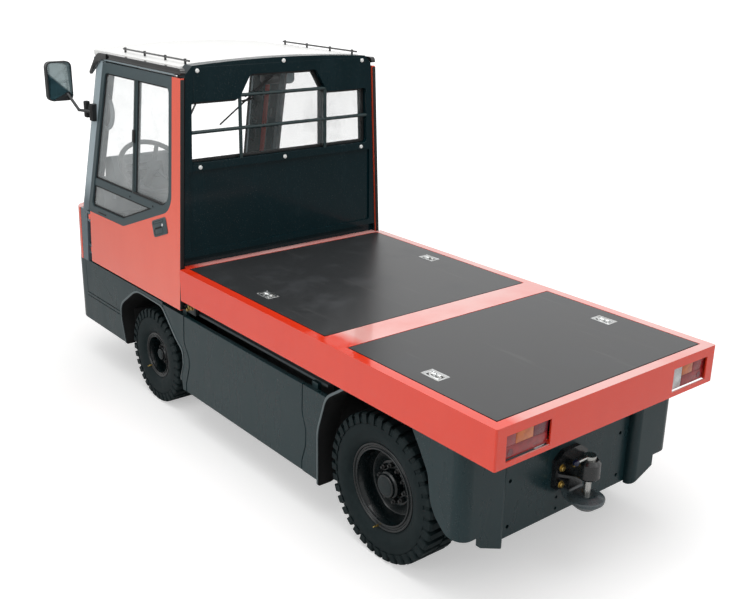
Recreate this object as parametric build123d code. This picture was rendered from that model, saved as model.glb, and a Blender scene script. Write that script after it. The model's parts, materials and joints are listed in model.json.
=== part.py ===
from build123d import *
import os
from math import copysign, cos, pi, sin

os.makedirs("parts", exist_ok=True)

# Every size is in millimetres. While it is modelled, x runs forward from the
# rear edge of the deck, y to the left from the middle, and z up from the ground.
# The last lines move the origin to the middle of the whole length.

# Main sizes
DECK_WIDTH = 1300.0
DECK_HEIGHT = 860.0
DECK_LENGTH = 2190.0
FASCIA_HEIGHT = 163.0
CAB_LENGTH = 1329.0
CAB_HEIGHT = 946.0
ROOF_CROWN = 28.0
ROOF_T = 34.0
ROOF_FLANGE = 36.0

# Wheels: tyre radii and widths, and where their faces and the kingpins stand
REAR_AXLE_X = 655.0
REAR_TYRE_R = DECK_HEIGHT * 16 / 43
REAR_TYRE_W = 185.0
FRONT_AXLE_IN = 387.0
FRONT_TYRE_R = DECK_HEIGHT * 131 / 430
FRONT_TYRE_W = 160.0
WHEEL_FACE_IN = 30.0
KINGPIN_IN = 190.0

# Walls and clearances
SHEET = 8.0
WALL = 25.0
SEAT_GAP = 0.3
RUN_GAP = 0.05
LEAN = 0.052
NOSE_CORNER = 100.0

# Places that follow from the main sizes
HALF = DECK_WIDTH / 2
SKIRT_Y = HALF - 8
WHEEL_FACE_Y = HALF - WHEEL_FACE_IN
KINGPIN_Y = WHEEL_FACE_Y - KINGPIN_IN
FASCIA_BOTTOM = DECK_HEIGHT - FASCIA_HEIGHT
FLOOR_TOP = FASCIA_BOTTOM - 47
FLOOR_T = 22.0
SILL_Z = FLOOR_TOP - 10
BUMPER_TOP = FLOOR_TOP - FLOOR_T - 2
BELT_Z = DECK_HEIGHT + 70
EAVE_Z = DECK_HEIGHT + CAB_HEIGHT
CAB_REAR = DECK_LENGTH + 16
FRONT_AXLE_X = DECK_LENGTH + FRONT_AXLE_IN
BUMPER_FRONT = CAB_REAR + CAB_LENGTH
NOSE_FRONT = BUMPER_FRONT - 27
SCREEN_FOOT_X = NOSE_FRONT - NOSE_CORNER * 0.7
NOSE_REAR_X = NOSE_FRONT - NOSE_CORNER - 6


def outline(*corners):
    """A flat face from rows of (across, up, corner radius)."""
    points = [(across, up) for across, up, radius in corners]
    radii = [radius for across, up, radius in corners]
    return make_face(FilletPolyline(*points, radius=radii, close=True))


def along_x(face, x0, x1):
    """Extrude a face drawn in y and z from x0 to x1."""
    return extrude(Plane.YZ.offset(x0) * face, amount=x1 - x0)


def along_y(face, y0, y1):
    """Extrude a face drawn in x and z from y0 to y1."""
    return extrude(Plane.XZ.offset(-y1) * face, amount=y1 - y0)


def along_z(face, z0, z1):
    """Extrude a face drawn in x and y from z0 to z1."""
    return extrude(Plane.XY.offset(z0) * face, amount=z1 - z0)


def block(x0, x1, y0, y1, z0, z1):
    """A block between two corners."""
    centre = ((x0 + x1) / 2, (y0 + y1) / 2, (z0 + z1) / 2)
    return Pos(*centre) * Box(x1 - x0, y1 - y0, z1 - z0)


def rod(start, end, radius):
    """A round bar between two points."""
    axis = Vector(*end) - Vector(*start)
    middle = (Vector(*start) + Vector(*end)) * 0.5
    return Plane(origin=middle, z_dir=axis) * Cylinder(radius, axis.length)


def other_side(shape):
    """The same shape on the right of the truck."""
    return mirror(shape, about=Plane.XZ)


def gather(*shapes):
    """One compound of all the solids in some shapes."""
    return Compound([solid for shape in shapes for solid in shape.solids()])


def pair(shape):
    """A shape and its twin on the right, as separate solids."""
    return gather(shape, other_side(shape))


def side_y(z):
    """Half width of the cab's side at a height, because the sides lean in."""
    return HALF - LEAN * (z - SILL_Z)


def side_slab(outer_inset, inner_inset):
    """The leaning layer of the left side between two depths under its surface."""
    low, high = 0.0, EAVE_Z + 400
    face = outline(
        (side_y(low) - outer_inset, low, 0),
        (side_y(high) - outer_inset, high, 0),
        (side_y(high) - inner_inset, high, 0),
        (side_y(low) - inner_inset, low, 0),
    )
    return along_x(face, DECK_LENGTH - 200, BUMPER_FRONT + 100)


def through_side(face):
    """A face drawn in x and z, extruded through the left side of the cab."""
    return along_y(face, HALF - 250, HALF + 50)


def side_piece(face, outer_inset, inner_inset):
    """A face drawn in x and z, cut out of a layer of the cab's left side."""
    return through_side(face) & side_slab(outer_inset, inner_inset)


# Deck frame: fascia, top flange, ledges that carry the covers, cross beam
FLANGE = 46.0
LEDGE = 26.0
COVER_T = 18.0
COVER_GAP = 5.0
BEAM_REAR = REAR_AXLE_X + 232
BEAM_FRONT = BEAM_REAR + 150
COVER_FRONT = DECK_LENGTH - 13
TONGUE = 40.0
DECK_CORNER_R = 8.0
COVER_SEAT_Z = DECK_HEIGHT - COVER_T
INNER_Y = HALF - FLANGE
REAR_LIP_X = 60.0
LIP_HALF = 340.0
LIP_H = 20.0

# Rear lamps
LAMP_Y = HALF - 168
LAMP_W = 230.0
LAMP_H = 102.0
LAMP_Z = FASCIA_BOTTOM + 72
LAMP_DEPTH = 60.0
LAMP_RECESS = 12.0
LAMP_GASKET = 15.0

# Ring plates in the covers
RING_Y = INNER_Y - 100
RING_POCKET_L = 84.0
RING_POCKET_W = 46.0
RING_POCKET_D = 12.0
RING_BAR_R = 4.0
REAR_RING_X = BEAM_REAR / 2 + 24
FRONT_RING_X = BEAM_FRONT + 580


def make_deck_frame():
    plan = outline(
        (0, -HALF, DECK_CORNER_R),
        (0, HALF, DECK_CORNER_R),
        (DECK_LENGTH, HALF, 0),
        (DECK_LENGTH, -HALF, 0),
    )
    frame = along_z(plan, FASCIA_BOTTOM, DECK_HEIGHT)
    inner = HALF - SHEET
    frame -= block(SHEET, DECK_LENGTH + 1, -inner, inner, FASCIA_BOTTOM - 1, DECK_HEIGHT - SHEET)
    frame += block(
        DECK_LENGTH - 1, CAB_REAR + 24, -HALF + TONGUE, HALF - TONGUE, DECK_HEIGHT - SHEET, DECK_HEIGHT
    )
    for x0, x1 in ((FLANGE, BEAM_REAR), (BEAM_FRONT, COVER_FRONT)):
        tray = block(
            x0 - SHEET, x1 + SHEET, -INNER_Y - SHEET, INNER_Y + SHEET, COVER_SEAT_Z - SHEET, DECK_HEIGHT - 1
        )
        frame += tray
        frame -= block(x0, x1, -INNER_Y, INNER_Y, COVER_SEAT_Z, DECK_HEIGHT + 1)
        frame -= block(
            x0 + LEDGE, x1 - LEDGE, -INNER_Y + LEDGE, INNER_Y - LEDGE, COVER_SEAT_Z - 50, DECK_HEIGHT + 1
        )
    for x in (BEAM_REAR, BEAM_FRONT - SHEET):
        frame += block(x, x + SHEET, -HALF + 4, HALF - 4, FASCIA_BOTTOM, DECK_HEIGHT - 4)
    frame += block(SHEET - 2, REAR_LIP_X, -LIP_HALF, LIP_HALF, FASCIA_BOTTOM, FASCIA_BOTTOM + LIP_H)
    low, high = LAMP_Z - LAMP_H / 2, LAMP_Z + LAMP_H / 2
    window = block(-1, SHEET + 1, LAMP_Y - LAMP_W / 2, LAMP_Y + LAMP_W / 2, low, high)
    return frame - window - other_side(window)


def make_cover(x0, x1, ring_x):
    """A lift-out cover with ribs under it and two ring plates let into it."""
    half = INNER_Y - COVER_GAP
    cover = block(x0, x1, -half, half, COVER_SEAT_Z, DECK_HEIGHT)
    rib_half = INNER_Y - LEDGE - 12
    for index in range(1, 4):
        x = x0 + (x1 - x0) * index / 4
        cover += block(x - 15, x + 15, -rib_half, rib_half, COVER_SEAT_Z - 14, COVER_SEAT_Z)
    low, high = RING_Y - RING_POCKET_W / 2, RING_Y + RING_POCKET_W / 2
    reach = RING_POCKET_L / 2
    pocket = block(ring_x - reach, ring_x + reach, low, high, DECK_HEIGHT - RING_POCKET_D, DECK_HEIGHT + 1)
    cover = cover - pocket - other_side(pocket)
    bar_z = DECK_HEIGHT - RING_POCKET_D / 2
    for x in (ring_x - reach + 8, ring_x + reach - 8):
        bar = rod((x, low, bar_z), (x, high, bar_z), RING_BAR_R)
        cover = cover + bar + other_side(bar)
    return cover


def make_rear_lamps():
    """Lens box in the fascia's window, on a gasket plate behind the fascia."""

    def layer(x0, x1, grow):
        wide, tall = LAMP_W / 2 + grow, LAMP_H / 2 + grow
        return block(x0, x1, LAMP_Y - wide, LAMP_Y + wide, LAMP_Z - tall, LAMP_Z + tall)

    back = LAMP_RECESS + 6
    lamp = layer(LAMP_RECESS, LAMP_RECESS + LAMP_DEPTH, -COVER_GAP / 2)
    gasket = layer(SHEET, back, LAMP_GASKET - 5) - layer(0, back + 1, 0)
    return pair(lamp + gasket + layer(back, back + 6, LAMP_GASKET - 5))


# Chassis: two rails with cross members, and a battery well between the axles
RAIL_BOTTOM = REAR_TYRE_R + 80
RAIL_TOP = RAIL_BOTTOM + (FLOOR_TOP - FLOOR_T - RAIL_BOTTOM) * 10 / 19
RAIL_OUTER = HALF * 6 / 13
RAIL_INNER = RAIL_OUTER - 64
PLATE_X = 200.0
PLATE_T = 25.0
WELL_REAR = REAR_AXLE_X + 495
WELL_FRONT = DECK_LENGTH - 40
WELL_HALF = HALF - 180
WELL_BOTTOM = 200.0
WELL_T = 16.0
WELL_TOP = COVER_SEAT_Z - 55
RAIL_END = BUMPER_FRONT - 155
MOTOR_FRONT = REAR_AXLE_X + 345
SILL_RAIL_IN = HALF - 90
SILL_RAIL_OUT = HALF - 50
SILL_RAIL_H = 65.0


def make_rails():
    """Rails, uprights and cross members ahead of and behind the battery well."""
    # Each frame: rail ends, then rows of (cross member x, width, top of its upright)
    rear = (PLATE_X + PLATE_T, WELL_REAR - SEAT_GAP, (
        (PLATE_X + PLATE_T, 60, FASCIA_BOTTOM),
        (BEAM_REAR - 20, 0, FASCIA_BOTTOM),
        (MOTOR_FRONT, 50, 0),
    ))
    front = (WELL_FRONT + SEAT_GAP, RAIL_END, (
        (WELL_FRONT + 110, 60, FLOOR_TOP - FLOOR_T),
        (RAIL_END - 60, 60, FLOOR_TOP - FLOOR_T),
    ))
    frames = []
    for x0, x1, members in (rear, front):
        rail = block(x0, x1, RAIL_INNER, RAIL_OUTER, RAIL_BOTTOM, RAIL_TOP)
        for x, width, top in members:
            if width:
                rail += block(x, x + width, -1, RAIL_OUTER, RAIL_BOTTOM + 30, RAIL_TOP)
            if top:
                rail += block(x, x + 60, RAIL_INNER, RAIL_OUTER, RAIL_TOP - 2, top)
        frames.append(rail + other_side(rail))
    return gather(*frames)


def make_well():
    well = block(WELL_REAR, WELL_FRONT, -WELL_HALF, WELL_HALF, WELL_BOTTOM, WELL_TOP)
    half = WELL_HALF - WELL_T
    return well - block(WELL_REAR + WELL_T, WELL_FRONT - WELL_T, -half, half, WELL_BOTTOM + WELL_T, WELL_TOP + 1)


def make_sill_rails():
    """Channels under the deck's sides, with their posts from the battery well."""
    low = FASCIA_BOTTOM - SILL_RAIL_H
    x0, x1 = WELL_REAR - 130, CAB_REAR + 32
    rail = block(x0, x1, SILL_RAIL_IN, SILL_RAIL_OUT, low, FASCIA_BOTTOM)
    rail -= block(x0 - 1, x1 + 1, SILL_RAIL_IN + SHEET, SILL_RAIL_OUT + 1, low + 12, FASCIA_BOTTOM - 26)
    for x in (WELL_REAR + 20, WELL_FRONT - 60):
        rail += block(x, x + 40, WELL_HALF + SEAT_GAP, SILL_RAIL_IN + 4, low, FASCIA_BOTTOM)
    return pair(rail)


PLATE_HALF = HALF - 250
PLATE_BOTTOM = 220.0
PLATE_HOLE_Y = PLATE_HALF - 63
PLATE_HOLE_Z = (266.0, 467.0)
PLATE_HOLE_R = 8.5
# Small extra holes: (y, z, radius)
PLATE_SPOTS = ((52, 296, 7), (52, 244, 7), (-76, 540, 7))


def make_rear_plate():
    plate = block(PLATE_X, PLATE_X + PLATE_T, -PLATE_HALF, PLATE_HALF, PLATE_BOTTOM, FASCIA_BOTTOM + LIP_H)
    plate += block(REAR_LIP_X, PLATE_X + PLATE_T + 60, -LIP_HALF, LIP_HALF, FASCIA_BOTTOM, FASCIA_BOTTOM + LIP_H)
    holes = [(y, z, PLATE_HOLE_R) for y in (-PLATE_HOLE_Y, PLATE_HOLE_Y) for z in PLATE_HOLE_Z]
    for y, z, radius in (*holes, *PLATE_SPOTS):
        plate -= rod((PLATE_X - 5, y, z), (PLATE_X + PLATE_T + 5, y, z), radius)
    return plate


# Tow coupling: housing and funnel lip are turned about the pin, the neck and
# the flange join them to the rear plate
JAW_X = 92.0
JAW_R = 46.0
LIP_R = 77.0
JAW_TOP = 500.0
JAW_ROOF = 416.0
JAW_FLOOR = 346.0
LIP_BOTTOM = 281.0
PIN_R = 15.0
FLANGE_T = 22.0
NECK_HALF = 42.0
HANDLE_Z = JAW_TOP + 10


def make_coupling():
    housing = outline(
        (0, JAW_ROOF, 0),
        (JAW_R - 8, JAW_ROOF, 0),
        (JAW_R, JAW_ROOF + 9, 0),
        (JAW_R, JAW_TOP - 14, 0),
        (JAW_R - 12, JAW_TOP, 0),
        (0, JAW_TOP, 0),
    )
    lip = outline(
        (0, JAW_FLOOR, 0),
        (40, JAW_FLOOR, 30),
        (LIP_R, JAW_FLOOR - 16, 6),
        (LIP_R - 4, JAW_FLOOR - 32, 8),
        (36, LIP_BOTTOM, 16),
        (0, LIP_BOTTOM, 0),
    )
    turned = Pos(JAW_X, 0, 0) * (revolve(Plane.XZ * housing, Axis.Z) + revolve(Plane.XZ * lip, Axis.Z))
    side = outline(
        (JAW_X, JAW_TOP - 12, 0),
        (PLATE_X - 10, JAW_TOP - 12, 0),
        (PLATE_X - 10, LIP_BOTTOM + 24, 40),
        (JAW_X + 10, LIP_BOTTOM + 6, 0),
        (JAW_X + 10, JAW_FLOOR - 12, 0),
        (JAW_X + 58, JAW_FLOOR - 4, 14),
        (JAW_X + 58, JAW_ROOF + 4, 14),
        (JAW_X, JAW_ROOF + 4, 0),
    )
    neck = along_y(side, -NECK_HALF, NECK_HALF)
    plate = outline(
        (-95, 345, 18), (95, 345, 18), (95, 478, 18), (48, 512, 14), (-48, 512, 14), (-95, 478, 18)
    )
    flange = along_x(plate, PLATE_X - FLANGE_T, PLATE_X)
    rib = along_z(
        outline(
            (PLATE_X - 80, NECK_HALF - 2, 0),
            (PLATE_X - FLANGE_T + 2, 80, 0),
            (PLATE_X - FLANGE_T + 2, NECK_HALF - 2, 0),
        ),
        408,
        420,
    )
    shape = turned + neck + flange + rib + other_side(rib)
    for y in (-NECK_HALF - 33, NECK_HALF + 33):
        for z in (378, 452):
            shape += rod((PLATE_X - FLANGE_T - 12, y, z), (PLATE_X - FLANGE_T + 2, y, z), 12)
    return shape - rod((JAW_X, 0, LIP_BOTTOM - 10), (JAW_X, 0, JAW_TOP + 20), PIN_R + SEAT_GAP)


def make_coupling_pin():
    """Pin with its head, cross handle and round knob."""
    pin = rod((JAW_X, 0, LIP_BOTTOM + 20), (JAW_X, 0, JAW_TOP + 14), PIN_R)
    pin += rod((JAW_X, 0, JAW_TOP), (JAW_X, 0, JAW_TOP + 18), 25)
    pin += rod((JAW_X, 0, HANDLE_Z), (JAW_X, 86, HANDLE_Z), 7)
    return pin + Pos(JAW_X, 86, HANDLE_Z) * Sphere(14)


# Skirts: side panels, fenders round the arches, liners, rear corner fairings
PANEL_TOP = FASCIA_BOTTOM - 82
SKIRT_SCALE = PANEL_TOP / 615
PANEL_BOTTOM = 195.0
SEAM = 5.0
FRONT_SEAM_X = DECK_LENGTH - 5
REAR_SEAM_X = REAR_AXLE_X + 491
# The curved seams: (offset from a straight line, height, corner radius); the
# heights and radii of these tables are stretched with the skirt's height
FRONT_SEAM = (
    (0, 615, 0),
    (10, 470, 70),
    (-38, 395, 60),
    (-34, 340, 60),
    (4, 240, 70),
    (4, 195, 0),
)
REAR_SEAM = (
    (0, 615, 0),
    (4, 480, 80),
    (-24, 405, 70),
    (-22, 330, 70),
    (8, 240, 80),
    (8, 195, 0),
)
# The wheel openings: (x from the axle, height, corner radius)
REAR_ARCH = (
    (-185, 740, 0),
    (-260, 631, 120),
    (-315, 541, 120),
    (-333, 430, 120),
    (-364, 378, 90),
    (-419, 331, 60),
    (-520, 316, 0),
    (-520, 60, 0),
    (385, 60, 0),
    (386, 440, 170),
    (325, 620, 110),
    (200, 705, 0),
    (200, 740, 0),
)
FRONT_ARCH = (
    (-350, 60, 0),
    (-350, 215, 40),
    (-338, 262, 60),
    (-372, 345, 60),
    (-372, 421, 60),
    (-300, 470, 90),
    (-165, 605, 80),
    (140, 612, 190),
    (352, 470, 100),
    (345, 380, 150),
    (305, 235, 0),
    (305, 60, 0),
)
LINER_T = 8.0
REAR_LINER_IN = 98.0
FRONT_LINER_IN = 80.0
CROWN_Z = FRONT_TYRE_R + 158


def seam_line(seam, x):
    return [(x + offset, z * SKIRT_SCALE, radius * SKIRT_SCALE) for offset, z, radius in seam]


def arch_face(arch, axle_x, inset=0.0):
    """A wheel opening's face, or a smaller one inside it."""
    corners = []
    for x, z, radius in arch:
        corners.append((axle_x + x - copysign(inset, x), z * SKIRT_SCALE - inset, radius * SKIRT_SCALE))
    return outline(*corners)


def make_side_panels():
    front = seam_line(FRONT_SEAM, FRONT_SEAM_X - SEAM / 2)
    rear = seam_line(REAR_SEAM, REAR_SEAM_X + SEAM / 2)
    panel = along_y(outline(*front, *reversed(rear)), SKIRT_Y - WALL, SKIRT_Y)
    for x in (FRONT_SEAM_X - 150, REAR_SEAM_X + 110):
        panel += block(x, x + 40, WELL_HALF + SEAT_GAP, SKIRT_Y - WALL + 2, 300, 360)
    return pair(panel)


FENDER_END = FRONT_AXLE_X - 172


def make_fenders():
    rear_edge = REAR_AXLE_X + 280
    rear = outline(
        *seam_line(REAR_SEAM, REAR_SEAM_X - SEAM / 2), (rear_edge, PANEL_BOTTOM, 0), (rear_edge, PANEL_TOP, 0)
    )
    front = outline(
        *seam_line(FRONT_SEAM, FRONT_SEAM_X + SEAM / 2), (FENDER_END, PANEL_BOTTOM, 0), (FENDER_END, PANEL_TOP, 0)
    )
    low, high = SKIRT_Y - WALL, SKIRT_Y
    shapes = []
    # Rows: outline, wheel opening, axle, bracket x
    for face, arch, axle_x, x in (
        (rear, REAR_ARCH, REAR_AXLE_X, REAR_SEAM_X - 80),
        (front, FRONT_ARCH, FRONT_AXLE_X, CAB_REAR - 12),
    ):
        piece = along_y(face, low, high) - along_y(arch_face(arch, axle_x), low - 1, high + 1)
        piece += block(x, x + 40, SILL_RAIL_OUT + SEAT_GAP, low + 2, PANEL_TOP - 45, SILL_Z)
        shapes.append(pair(piece))
    return gather(*shapes)


def make_liner(arch, axle_x, depth, crown_depth, x0, x1, bottom):
    """A black strip that lines part of a wheel opening, deeper over its crown."""
    band = arch_face(arch, axle_x, SEAT_GAP) - arch_face(arch, axle_x, SEAT_GAP + LINER_T)
    low, high, inner = SKIRT_Y - depth, SKIRT_Y, SKIRT_Y - crown_depth
    strip = along_y(band, inner, high)
    foot = outline(
        (low, bottom, 30),
        (high, bottom, 12),
        (high, FASCIA_BOTTOM, 0),
        (inner, FASCIA_BOTTOM, 0),
        (inner, CROWN_Z, 0),
        (low, CROWN_Z, 0),
    )
    return strip & along_x(foot, x0, x1)


def make_liners():
    x = REAR_AXLE_X
    rear = make_liner(REAR_ARCH, x, REAR_LINER_IN, REAR_LINER_IN + 12, x + 100, x + 400, 168)
    x = FRONT_AXLE_X
    front = make_liner(FRONT_ARCH, x, FRONT_LINER_IN, SKIRT_Y - RAIL_OUTER - 12, x - 400, x + 400, 237)
    return gather(pair(rear), pair(front))


FAIRING_REAR = 155.0
FAIRING_CORNER = 60.0
FAIRING_INNER_Y = PLATE_HALF - 8
FAIRING_SIDE_X = 480.0


def make_rear_fairings():
    plate_face = PLATE_X - SEAT_GAP
    back = FAIRING_REAR + WALL
    inner = FAIRING_INNER_Y + WALL
    plan = outline(
        (FAIRING_SIDE_X, SKIRT_Y, 0),
        (FAIRING_REAR, SKIRT_Y, FAIRING_CORNER),
        (FAIRING_REAR, FAIRING_INNER_Y, 34),
        (plate_face, FAIRING_INNER_Y, 0),
        (plate_face, inner, 0),
        (back, inner, 9),
        (back, SKIRT_Y - WALL, FAIRING_CORNER - WALL),
        (FAIRING_SIDE_X, SKIRT_Y - WALL, 0),
    )
    shape = along_z(plan, 200, FASCIA_BOTTOM + 8)
    shape -= block(SHEET, FAIRING_SIDE_X + 1, SKIRT_Y - 4, HALF, FASCIA_BOTTOM - SEAT_GAP, FASCIA_BOTTOM + 9)
    slope = outline(
        (PLATE_HALF - 50, 190, 0), (FAIRING_INNER_Y, 210, 0), (HALF, 320, 0), (HALF + 60, 320, 0), (HALF + 60, 190, 0)
    )
    shape -= along_x(slope, FAIRING_REAR - 50, FAIRING_SIDE_X + 20)
    shape -= along_y(arch_face(REAR_ARCH, REAR_AXLE_X), HALF - 120, HALF + 20)
    return pair(shape)


# Front bumper and nose: bent skins that wrap the front corners
BUMPER_BOTTOM = 247.0
BUMPER_CORNER = 130.0
BUMPER_SHELF = 16.0
NOSE_RAKE = 22.0
HEADLAMP_Y = HALF - 220
HEADLAMP_Z = BUMPER_TOP - 96
HEADLAMP_R = 72.0
GROOVE = 6.0
# Grooves in the bumper's sides: x ends from the bumper's front, z ends
GROOVES = ((-175, -172, 424, BUMPER_TOP + 1), (-610, -172, 418, 424), (-610, -172, 398, 403))


def wrap_face(x_rear, x_front, half, corner, thick):
    """The plan of a skin that wraps both front corners."""
    return outline(
        (x_rear, half, 0),
        (x_front, half, corner),
        (x_front, -half, corner),
        (x_rear, -half, 0),
        (x_rear, -half + thick, 0),
        (x_front - thick, -half + thick, corner - thick),
        (x_front - thick, half - thick, corner - thick),
        (x_rear, half - thick, 0),
    )


def make_front_bumper():
    skin = along_z(wrap_face(FENDER_END + SEAM, BUMPER_FRONT, SKIRT_Y, BUMPER_CORNER, WALL), BUMPER_BOTTOM, BUMPER_TOP)
    shelf = outline(
        (RAIL_END + 6, SKIRT_Y - 20, 0),
        (BUMPER_FRONT - 20, SKIRT_Y - 20, BUMPER_CORNER - 20),
        (BUMPER_FRONT - 20, -SKIRT_Y + 20, BUMPER_CORNER - 20),
        (RAIL_END + 6, -SKIRT_Y + 20, 0),
    )
    skin += along_z(shelf, BUMPER_TOP - BUMPER_SHELF, BUMPER_TOP)
    skin -= along_y(arch_face(FRONT_ARCH, FRONT_AXLE_X), -HALF - 20, HALF + 20)
    # Left side's grooves, rail ends and headlamp openings, and their twins
    for x0, x1, z0, z1 in GROOVES:
        groove = block(BUMPER_FRONT + x0, BUMPER_FRONT + x1, SKIRT_Y - GROOVE, SKIRT_Y + 1, z0, z1)
        skin = skin - groove - other_side(groove)
    stub = block(RAIL_END + SEAT_GAP, BUMPER_FRONT - WALL + 2, RAIL_INNER, RAIL_OUTER, RAIL_BOTTOM, RAIL_TOP)
    skin = skin + stub + other_side(stub)
    bore = rod(
        (BUMPER_FRONT - 60, HEADLAMP_Y, HEADLAMP_Z), (BUMPER_FRONT + 5, HEADLAMP_Y, HEADLAMP_Z), HEADLAMP_R + 3
    )
    return skin - bore - other_side(bore)


def make_headlamps():
    def disc(x0, x1, radius):
        return rod((BUMPER_FRONT + x0, HEADLAMP_Y, HEADLAMP_Z), (BUMPER_FRONT + x1, HEADLAMP_Y, HEADLAMP_Z), radius)

    return pair(disc(-70, -6, HEADLAMP_R) + disc(-WALL - 8, -WALL, HEADLAMP_R + 7))


def section_at(face, z):
    return Plane.XY.offset(z) * face


def make_nose():
    low = wrap_face(NOSE_REAR_X - 24, NOSE_FRONT - NOSE_RAKE, side_y(BUMPER_TOP), NOSE_CORNER, WALL)
    high = wrap_face(NOSE_REAR_X, NOSE_FRONT, side_y(BELT_Z), NOSE_CORNER, WALL)
    skin = loft([section_at(low, BUMPER_TOP), section_at(high, BELT_Z)], ruled=True)
    half = side_y(BELT_Z) - 10
    shelf = outline(
        (NOSE_REAR_X + 2, half, 0),
        (NOSE_FRONT - 10, half, NOSE_CORNER - 10),
        (NOSE_FRONT - 10, -half, NOSE_CORNER - 10),
        (NOSE_REAR_X + 2, -half, 0),
    )
    return skin + along_z(shelf, BELT_Z - 16, BELT_Z)


# Cab: corner pillars, windscreen, roof, rear wall
PILLAR_T = 28.0
PILLAR_CORNER = 92.0
PILLAR_BAND = 145.0
PILLAR_RETURN = 130.0
PILLAR_INSET = 4.0
SCREEN_RAKE = 0.272
CANT_Z = EAVE_Z - 12
HEADER_Z = EAVE_Z - 66
SCREEN_SILL_H = 40.0
SCREEN_T = 6.0
FOOT_REAR = NOSE_REAR_X - 94
DOOR_GAP = 10.0
DOOR_TOP = EAVE_Z - 16

# Door hinges: one axis through the gap between door and pillar
HINGE_X = FOOT_REAR - 28
HINGE_Y = HALF - 22
HINGE_Z = (SILL_Z + 32, SILL_Z + 228)
HINGE_R = 10.0
HINGE_PIN_R = 5.0
HINGE_H = 60.0
HINGE_EAR = 14.0


def screen_x(z):
    """Front face of the pillars and the windscreen at a height."""
    return SCREEN_FOOT_X - SCREEN_RAKE * (z - BELT_Z)


def door_front_x(z):
    """Front edge of the door over the belt line, parallel to the pillar."""
    return screen_x(z) - PILLAR_BAND - DOOR_GAP


def pillar_face(z):
    x, y = screen_x(z), side_y(z) - PILLAR_INSET
    return outline(
        (x - PILLAR_BAND, y, 0),
        (x, y, PILLAR_CORNER),
        (x, y - PILLAR_RETURN, 0),
        (x - PILLAR_T, y - PILLAR_RETURN, 0),
        (x - PILLAR_T, y - PILLAR_T, PILLAR_CORNER - PILLAR_T),
        (x - PILLAR_BAND, y - PILLAR_T, 0),
    )


def upright(x, y, z0, z1, radius):
    return rod((x, y, z0), (x, y, z1), radius)


def hinge_pin(z):
    """One hinge's pin and its two ears on the pillar's foot."""
    shape = upright(HINGE_X, HINGE_Y, z, z + HINGE_H, HINGE_PIN_R)
    for low in (z, z + HINGE_H - HINGE_EAR):
        shape += upright(HINGE_X, HINGE_Y, low, low + HINGE_EAR, HINGE_R)
        shape += block(HINGE_X, FOOT_REAR + 4, HINGE_Y - 6, HINGE_Y + 6, low, low + HINGE_EAR)
    return shape


def hinge_eye(z):
    """The door's eye round one pin, with its arm to the inner pan."""
    low, high = z + HINGE_EAR + 1, z + HINGE_H - HINGE_EAR - 1
    eye = upright(HINGE_X, HINGE_Y, low, high, HINGE_R)
    eye += block(HINGE_X - 58, HINGE_X, HINGE_Y - 16, HINGE_Y - 2, low, high)
    return eye - upright(HINGE_X, HINGE_Y, low - 1, high + 1, HINGE_PIN_R + RUN_GAP)


def roof_face(drop, rise):
    """The roof's section, its underside moved by drop and its top by rise."""
    half = side_y(EAVE_Z) - 34
    low, high = EAVE_Z + drop, EAVE_Z + ROOF_T + rise
    shoulder = half - ROOF_FLANGE
    with BuildSketch() as sketch:
        with BuildLine():
            Line((half, low), (half, high))
            ThreePointArc((half, high), (0, high + ROOF_CROWN), (-half, high))
            Polyline((-half, high), (-half, low), (-shoulder, low))
            ThreePointArc((-shoulder, low), (0, low + ROOF_CROWN), (shoulder, low))
            Line((shoulder, low), (half, low))
        make_face()
    return sketch.sketch


ROOF_REAR = CAB_REAR + 74 + SEAT_GAP
ROOF_FRONT = SCREEN_FOOT_X - 202


def make_pillars():
    """Both corner pillars with their feet, cant rails, header and screen sill."""
    pillar = loft([section_at(pillar_face(BELT_Z), BELT_Z), section_at(pillar_face(CANT_Z), CANT_Z)], ruled=True)
    foot = outline(
        (FOOT_REAR, BUMPER_TOP, 0),
        (NOSE_REAR_X - 27, BUMPER_TOP, 0),
        (NOSE_REAR_X - 3, BELT_Z, 0),
        (FOOT_REAR, BELT_Z, 0),
    )
    pillar += side_piece(foot, 2, 44)
    for z in HINGE_Z:
        pillar += hinge_pin(z)
    rail_y = side_y(CANT_Z) - PILLAR_INSET - 6
    pillar += block(ROOF_REAR - SEAT_GAP, screen_x(CANT_Z) - 20, rail_y - 44, rail_y, CANT_Z + 2, EAVE_Z)
    header = outline(
        (screen_x(HEADER_Z), HEADER_Z, 0),
        (screen_x(CANT_Z), CANT_Z, 0),
        (screen_x(CANT_Z), EAVE_Z + 50, 0),
        (screen_x(CANT_Z) - 40, EAVE_Z + 50, 0),
        (screen_x(HEADER_Z) - PILLAR_T, HEADER_Z, 0),
    )
    reach = side_y(EAVE_Z) - 110
    shape = pillar + other_side(pillar) + along_y(header, -reach, reach)
    shape -= along_x(roof_face(-SEAT_GAP, 200), ROOF_FRONT - 240, BUMPER_FRONT)
    sill = side_y(BELT_Z) - 115
    return shape + block(screen_x(BELT_Z) - 60, screen_x(BELT_Z), -sill, sill, BELT_Z, BELT_Z + SCREEN_SILL_H)


# Rear window: a wide low pane with a raised middle
WINDOW_PEAK = EAVE_Z - 16
WINDOW_TOP = WINDOW_PEAK - 116
WINDOW_BOTTOM = WINDOW_TOP - 296
WALL_T = 74.0
POST_INSET = 24.0
WALL_TOP = EAVE_Z + 40
WALL_CROWN = 18.0
PANEL_RELIEF = 10.0
PRESS_BOTTOM = WINDOW_BOTTOM - 41
BAR_R = 9.0


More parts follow.
